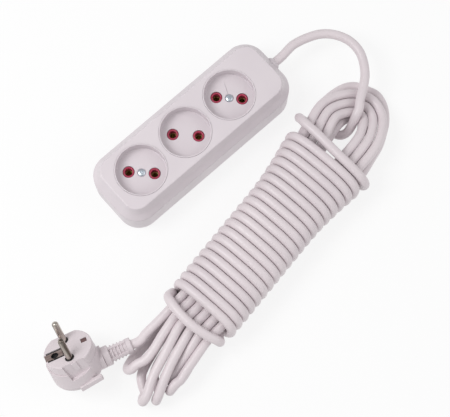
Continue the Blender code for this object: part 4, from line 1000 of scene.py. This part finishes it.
def plug_handle(plastic):
    """Moulded body: a round handle, a neck towards the cord and a grip bar, run together."""
    body = drum("plug_handle", BODY_R, -BODY_DEPTH, -FACE_T - 0.00002, 0.0002, sides=96)
    with editing(body, "EDGE"):
        choose("edges", level(-BODY_DEPTH))
        bpy.ops.mesh.bevel(offset=BODY_ROUND, segments=8)
    neck = brick("neck", NECK_SIZE, (NECK_SIZE[0] / 2, 0, NECK_Z))
    with editing(neck, "EDGE"):
        choose("edges", lambda middle, edge: abs((edge.verts[0].co - edge.verts[1].co).x) > 0.01)
        bpy.ops.mesh.bevel(offset=NECK_EDGE, segments=6)
    grip = brick("grip", GRIP_SIZE, (0, 0, 0))
    with editing(grip, "EDGE"):
        bpy.ops.mesh.select_all(action="SELECT")
        bpy.ops.mesh.bevel(offset=GRIP_EDGE, segments=3)
    place(grip, Matrix.Translation(GRIP_AT) @ Matrix.Rotation(GRIP_TILT, 4, "Y"))
    weld(body, neck, grip)
    carve(body, guide_tool())
    soften(body, 0.0005, 3, 30)
    return finished(place(body, PLUG), plastic, ("plug_body",))


def sleeve(plastic):
    """Ribbed sleeve on the cord: a collar, rows of windows between ribs and bars, an end ring."""
    length = RELIEF_END - RELIEF_START
    pitch = (length - SLEEVE_END_LENGTH - SLEEVE_COLLAR) / SLEEVE_RIBS
    edge = 0.0003
    profile = [(0, 0), (0.0071, 0), (0.0075, -0.0004), (0.0075, -SLEEVE_COLLAR + 0.0005),
               (0.0070, -SLEEVE_COLLAR)]
    for k in range(SLEEVE_RIBS):
        groove = -SLEEVE_COLLAR - pitch * k
        rib = groove - pitch * SLEEVE_WINDOW
        radius = SLEEVE_RIB_R - SLEEVE_TAPER * k / (SLEEVE_RIBS - 1)
        profile += [(SLEEVE_CORE_R, groove), (SLEEVE_CORE_R, rib), (radius - edge, rib),
                    (radius, rib - edge), (radius, groove - pitch + edge),
                    (radius - edge, groove - pitch)]
    profile += [(SLEEVE_END_R, -length + SLEEVE_END_LENGTH), (SLEEVE_END_R, -length + 0.0005),
                (SLEEVE_END_R - 0.0005, -length), (0.0039, -length), (0.0037, -length + 0.0006),
                (0, -length + 0.0006)]
    body = lathe("cord_sleeve", profile, 64)
    bars = []
    bar_out, wide, thick = 0.0051, 0.0023, 0.0022
    bar_ends = (SLEEVE_COLLAR, length - SLEEVE_END_LENGTH)
    for side in (-1, 1):
        for across in (0, 1):
            size = (thick, wide) if across else (wide, thick)
            spot = (side * bar_out * across, side * bar_out * (1 - across))
            bars.append(brick("bar", (*size, bar_ends[1] - bar_ends[0]),
                              (*spot, -sum(bar_ends) / 2)))
    weld(body, joined("bars", bars))
    place(body, PLUG @ Matrix.Translation((RELIEF_START, 0, -RELIEF_DEPTH))
          @ Matrix.Rotation(-pi / 2, 4, "Y"))
    return finished(body, plastic, ("plug_strain_relief",), 30)


# ================================================================ assembly
def surface():
    """Plain pale surface under the cord, white to the camera but still taking its shadow."""
    pale = bpy.data.materials.new("pale_surface")
    pale.use_nodes = True
    tree = pale.node_tree
    shader = tree.nodes["Principled BSDF"]
    shader.inputs["Base Color"].default_value = (*[SURFACE_GREY] * 3, 1)
    shader.inputs["Roughness"].default_value = 0.9
    seen = [node(tree, "ShaderNodeLightPath", output=i) for i in (0, 3, 5)]
    any_seen = node(tree, "ShaderNodeMath", {"operation": "MAXIMUM"},
                    {0: node(tree, "ShaderNodeMath", {"operation": "MAXIMUM"},
                             {0: seen[0], 1: seen[1]}), 1: seen[2]})
    white = node(tree, "ShaderNodeEmission", {}, {"Color": (1, 1, 1, 1), "Strength": 1.0})
    mixed = node(tree, "ShaderNodeMixShader", {}, {0: any_seen * SURFACE_WHITENING})
    tree.links.new(shader.outputs[0], mixed.socket.node.inputs[1])
    tree.links.new(white.socket, mixed.socket.node.inputs[2])
    tree.links.new(mixed.socket, tree.nodes["Material Output"].inputs["Surface"])
    bpy.ops.mesh.primitive_plane_add(size=SURFACE_SIZE, location=(0, 0, 0))
    bpy.context.object.name = "surface"
    bpy.context.object.data.materials.append(pale)


def light_the_scene():
    """Even white surroundings and two soft lamps."""
    scene = bpy.context.scene
    scene.view_settings.view_transform = "Standard"
    world = bpy.data.worlds.new("studio")
    scene.world = world
    world.use_nodes = True
    tree = world.node_tree
    background = tree.nodes["Background"]
    background.inputs["Color"].default_value = (1, 1, 1, 1)
    camera_ray = node(tree, "ShaderNodeLightPath", output=0)
    tree.links.new((camera_ray * (1 - WORLD_STRENGTH) + WORLD_STRENGTH).socket,
                   background.inputs["Strength"])
    softbox("key", KEY_PLACE, KEY_SIZE, KEY_POWER)
    softbox("fill", FILL_PLACE, FILL_SIZE, FILL_POWER)


set_camera()
surface()
light_the_scene()

SHELL_COLOUR, SHELL_SHADE = (0.680, 0.622, 0.652), (0.650, 0.592, 0.624)
housing_white = moulded_plastic("housing_white", SHELL_COLOUR, SHELL_SHADE, 0.36)
plug_white = moulded_plastic("plug_white", (0.675, 0.607, 0.632), (0.645, 0.577, 0.602), 0.42, 700)
insert_red = moulded_plastic("insert_red", (0.42, 0.040, 0.085), (0.34, 0.030, 0.075), 0.34)
# Black for the rings round the pins, and painted shade for the slot under the earth strip.
black_rubber_and_slot_shade = moulded_plastic("black_rubber_and_slot_shade", (0.012, 0.011, 0.012), (0.02, 0.018, 0.02), 0.5)
brown_insulation = moulded_plastic("brown_insulation", (0.16, 0.06, 0.03), (0.13, 0.05, 0.025),
                                   0.45)
blue_insulation = moulded_plastic("blue_insulation", (0.04, 0.12, 0.40), (0.03, 0.10, 0.34), 0.45)
in_plug = {"centre": PLUG_LOCATION, "turn": PLUG.to_euler()}
# Near-black patches drawn out along the pins: painted dark reflections of the surroundings.
nickel = plated_metal("bright_nickel", (0.58, 0.53, 0.48), (0.07, 0.05, 0.04), 0.20, 0.9,
                      stretch=(1, 1, 14), **in_plug)
strip_metal = plated_metal("strip_metal", (0.38, 0.30, 0.28), (0.20, 0.13, 0.12), 0.30, 0.8,
                           stretch=(10, 1, 10), **in_plug)
dark_metal = plated_metal("dark_metal", (0.24, 0.15, 0.15), (0.12, 0.07, 0.07), 0.45, 0.6,
                          stretch=(6, 1, 6), **in_plug)
zinc = plated_metal("zinc_plate", (0.62, 0.68, 0.74), (0.42, 0.46, 0.50), 0.28)
brass = plated_metal("contact_brass", (0.60, 0.44, 0.18), (0.34, 0.24, 0.10), 0.35)

cord = wound_cord(cord_sheath())
housing_base(housing_white)
housing_cover(housing_white)
socket_cups(housing_white)
contact_carriers(insert_red)
cover_screws(zinc)
grommet(housing_white)
plug_face(plug_white)
guide_tab(plug_white)
dark_parts(black_rubber_and_slot_shade)
plug_pins(nickel)
earth_parts(strip_metal, dark_metal)
plug_handle(plug_white)
sleeve(plug_white)

for names, finish in ((("busbar_1", "busbar_2"), brass),
                      (("clamp_screw_1", "clamp_screw_2",
                        "terminal_screw_1", "terminal_screw_2"), zinc),
                      (("cord_clamp",), housing_white), (("wire_brown",), brown_insulation),
                      (("wire_blue",), blue_insulation)):
    for name in names:
        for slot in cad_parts[name].material_slots:
            slot.material = finish
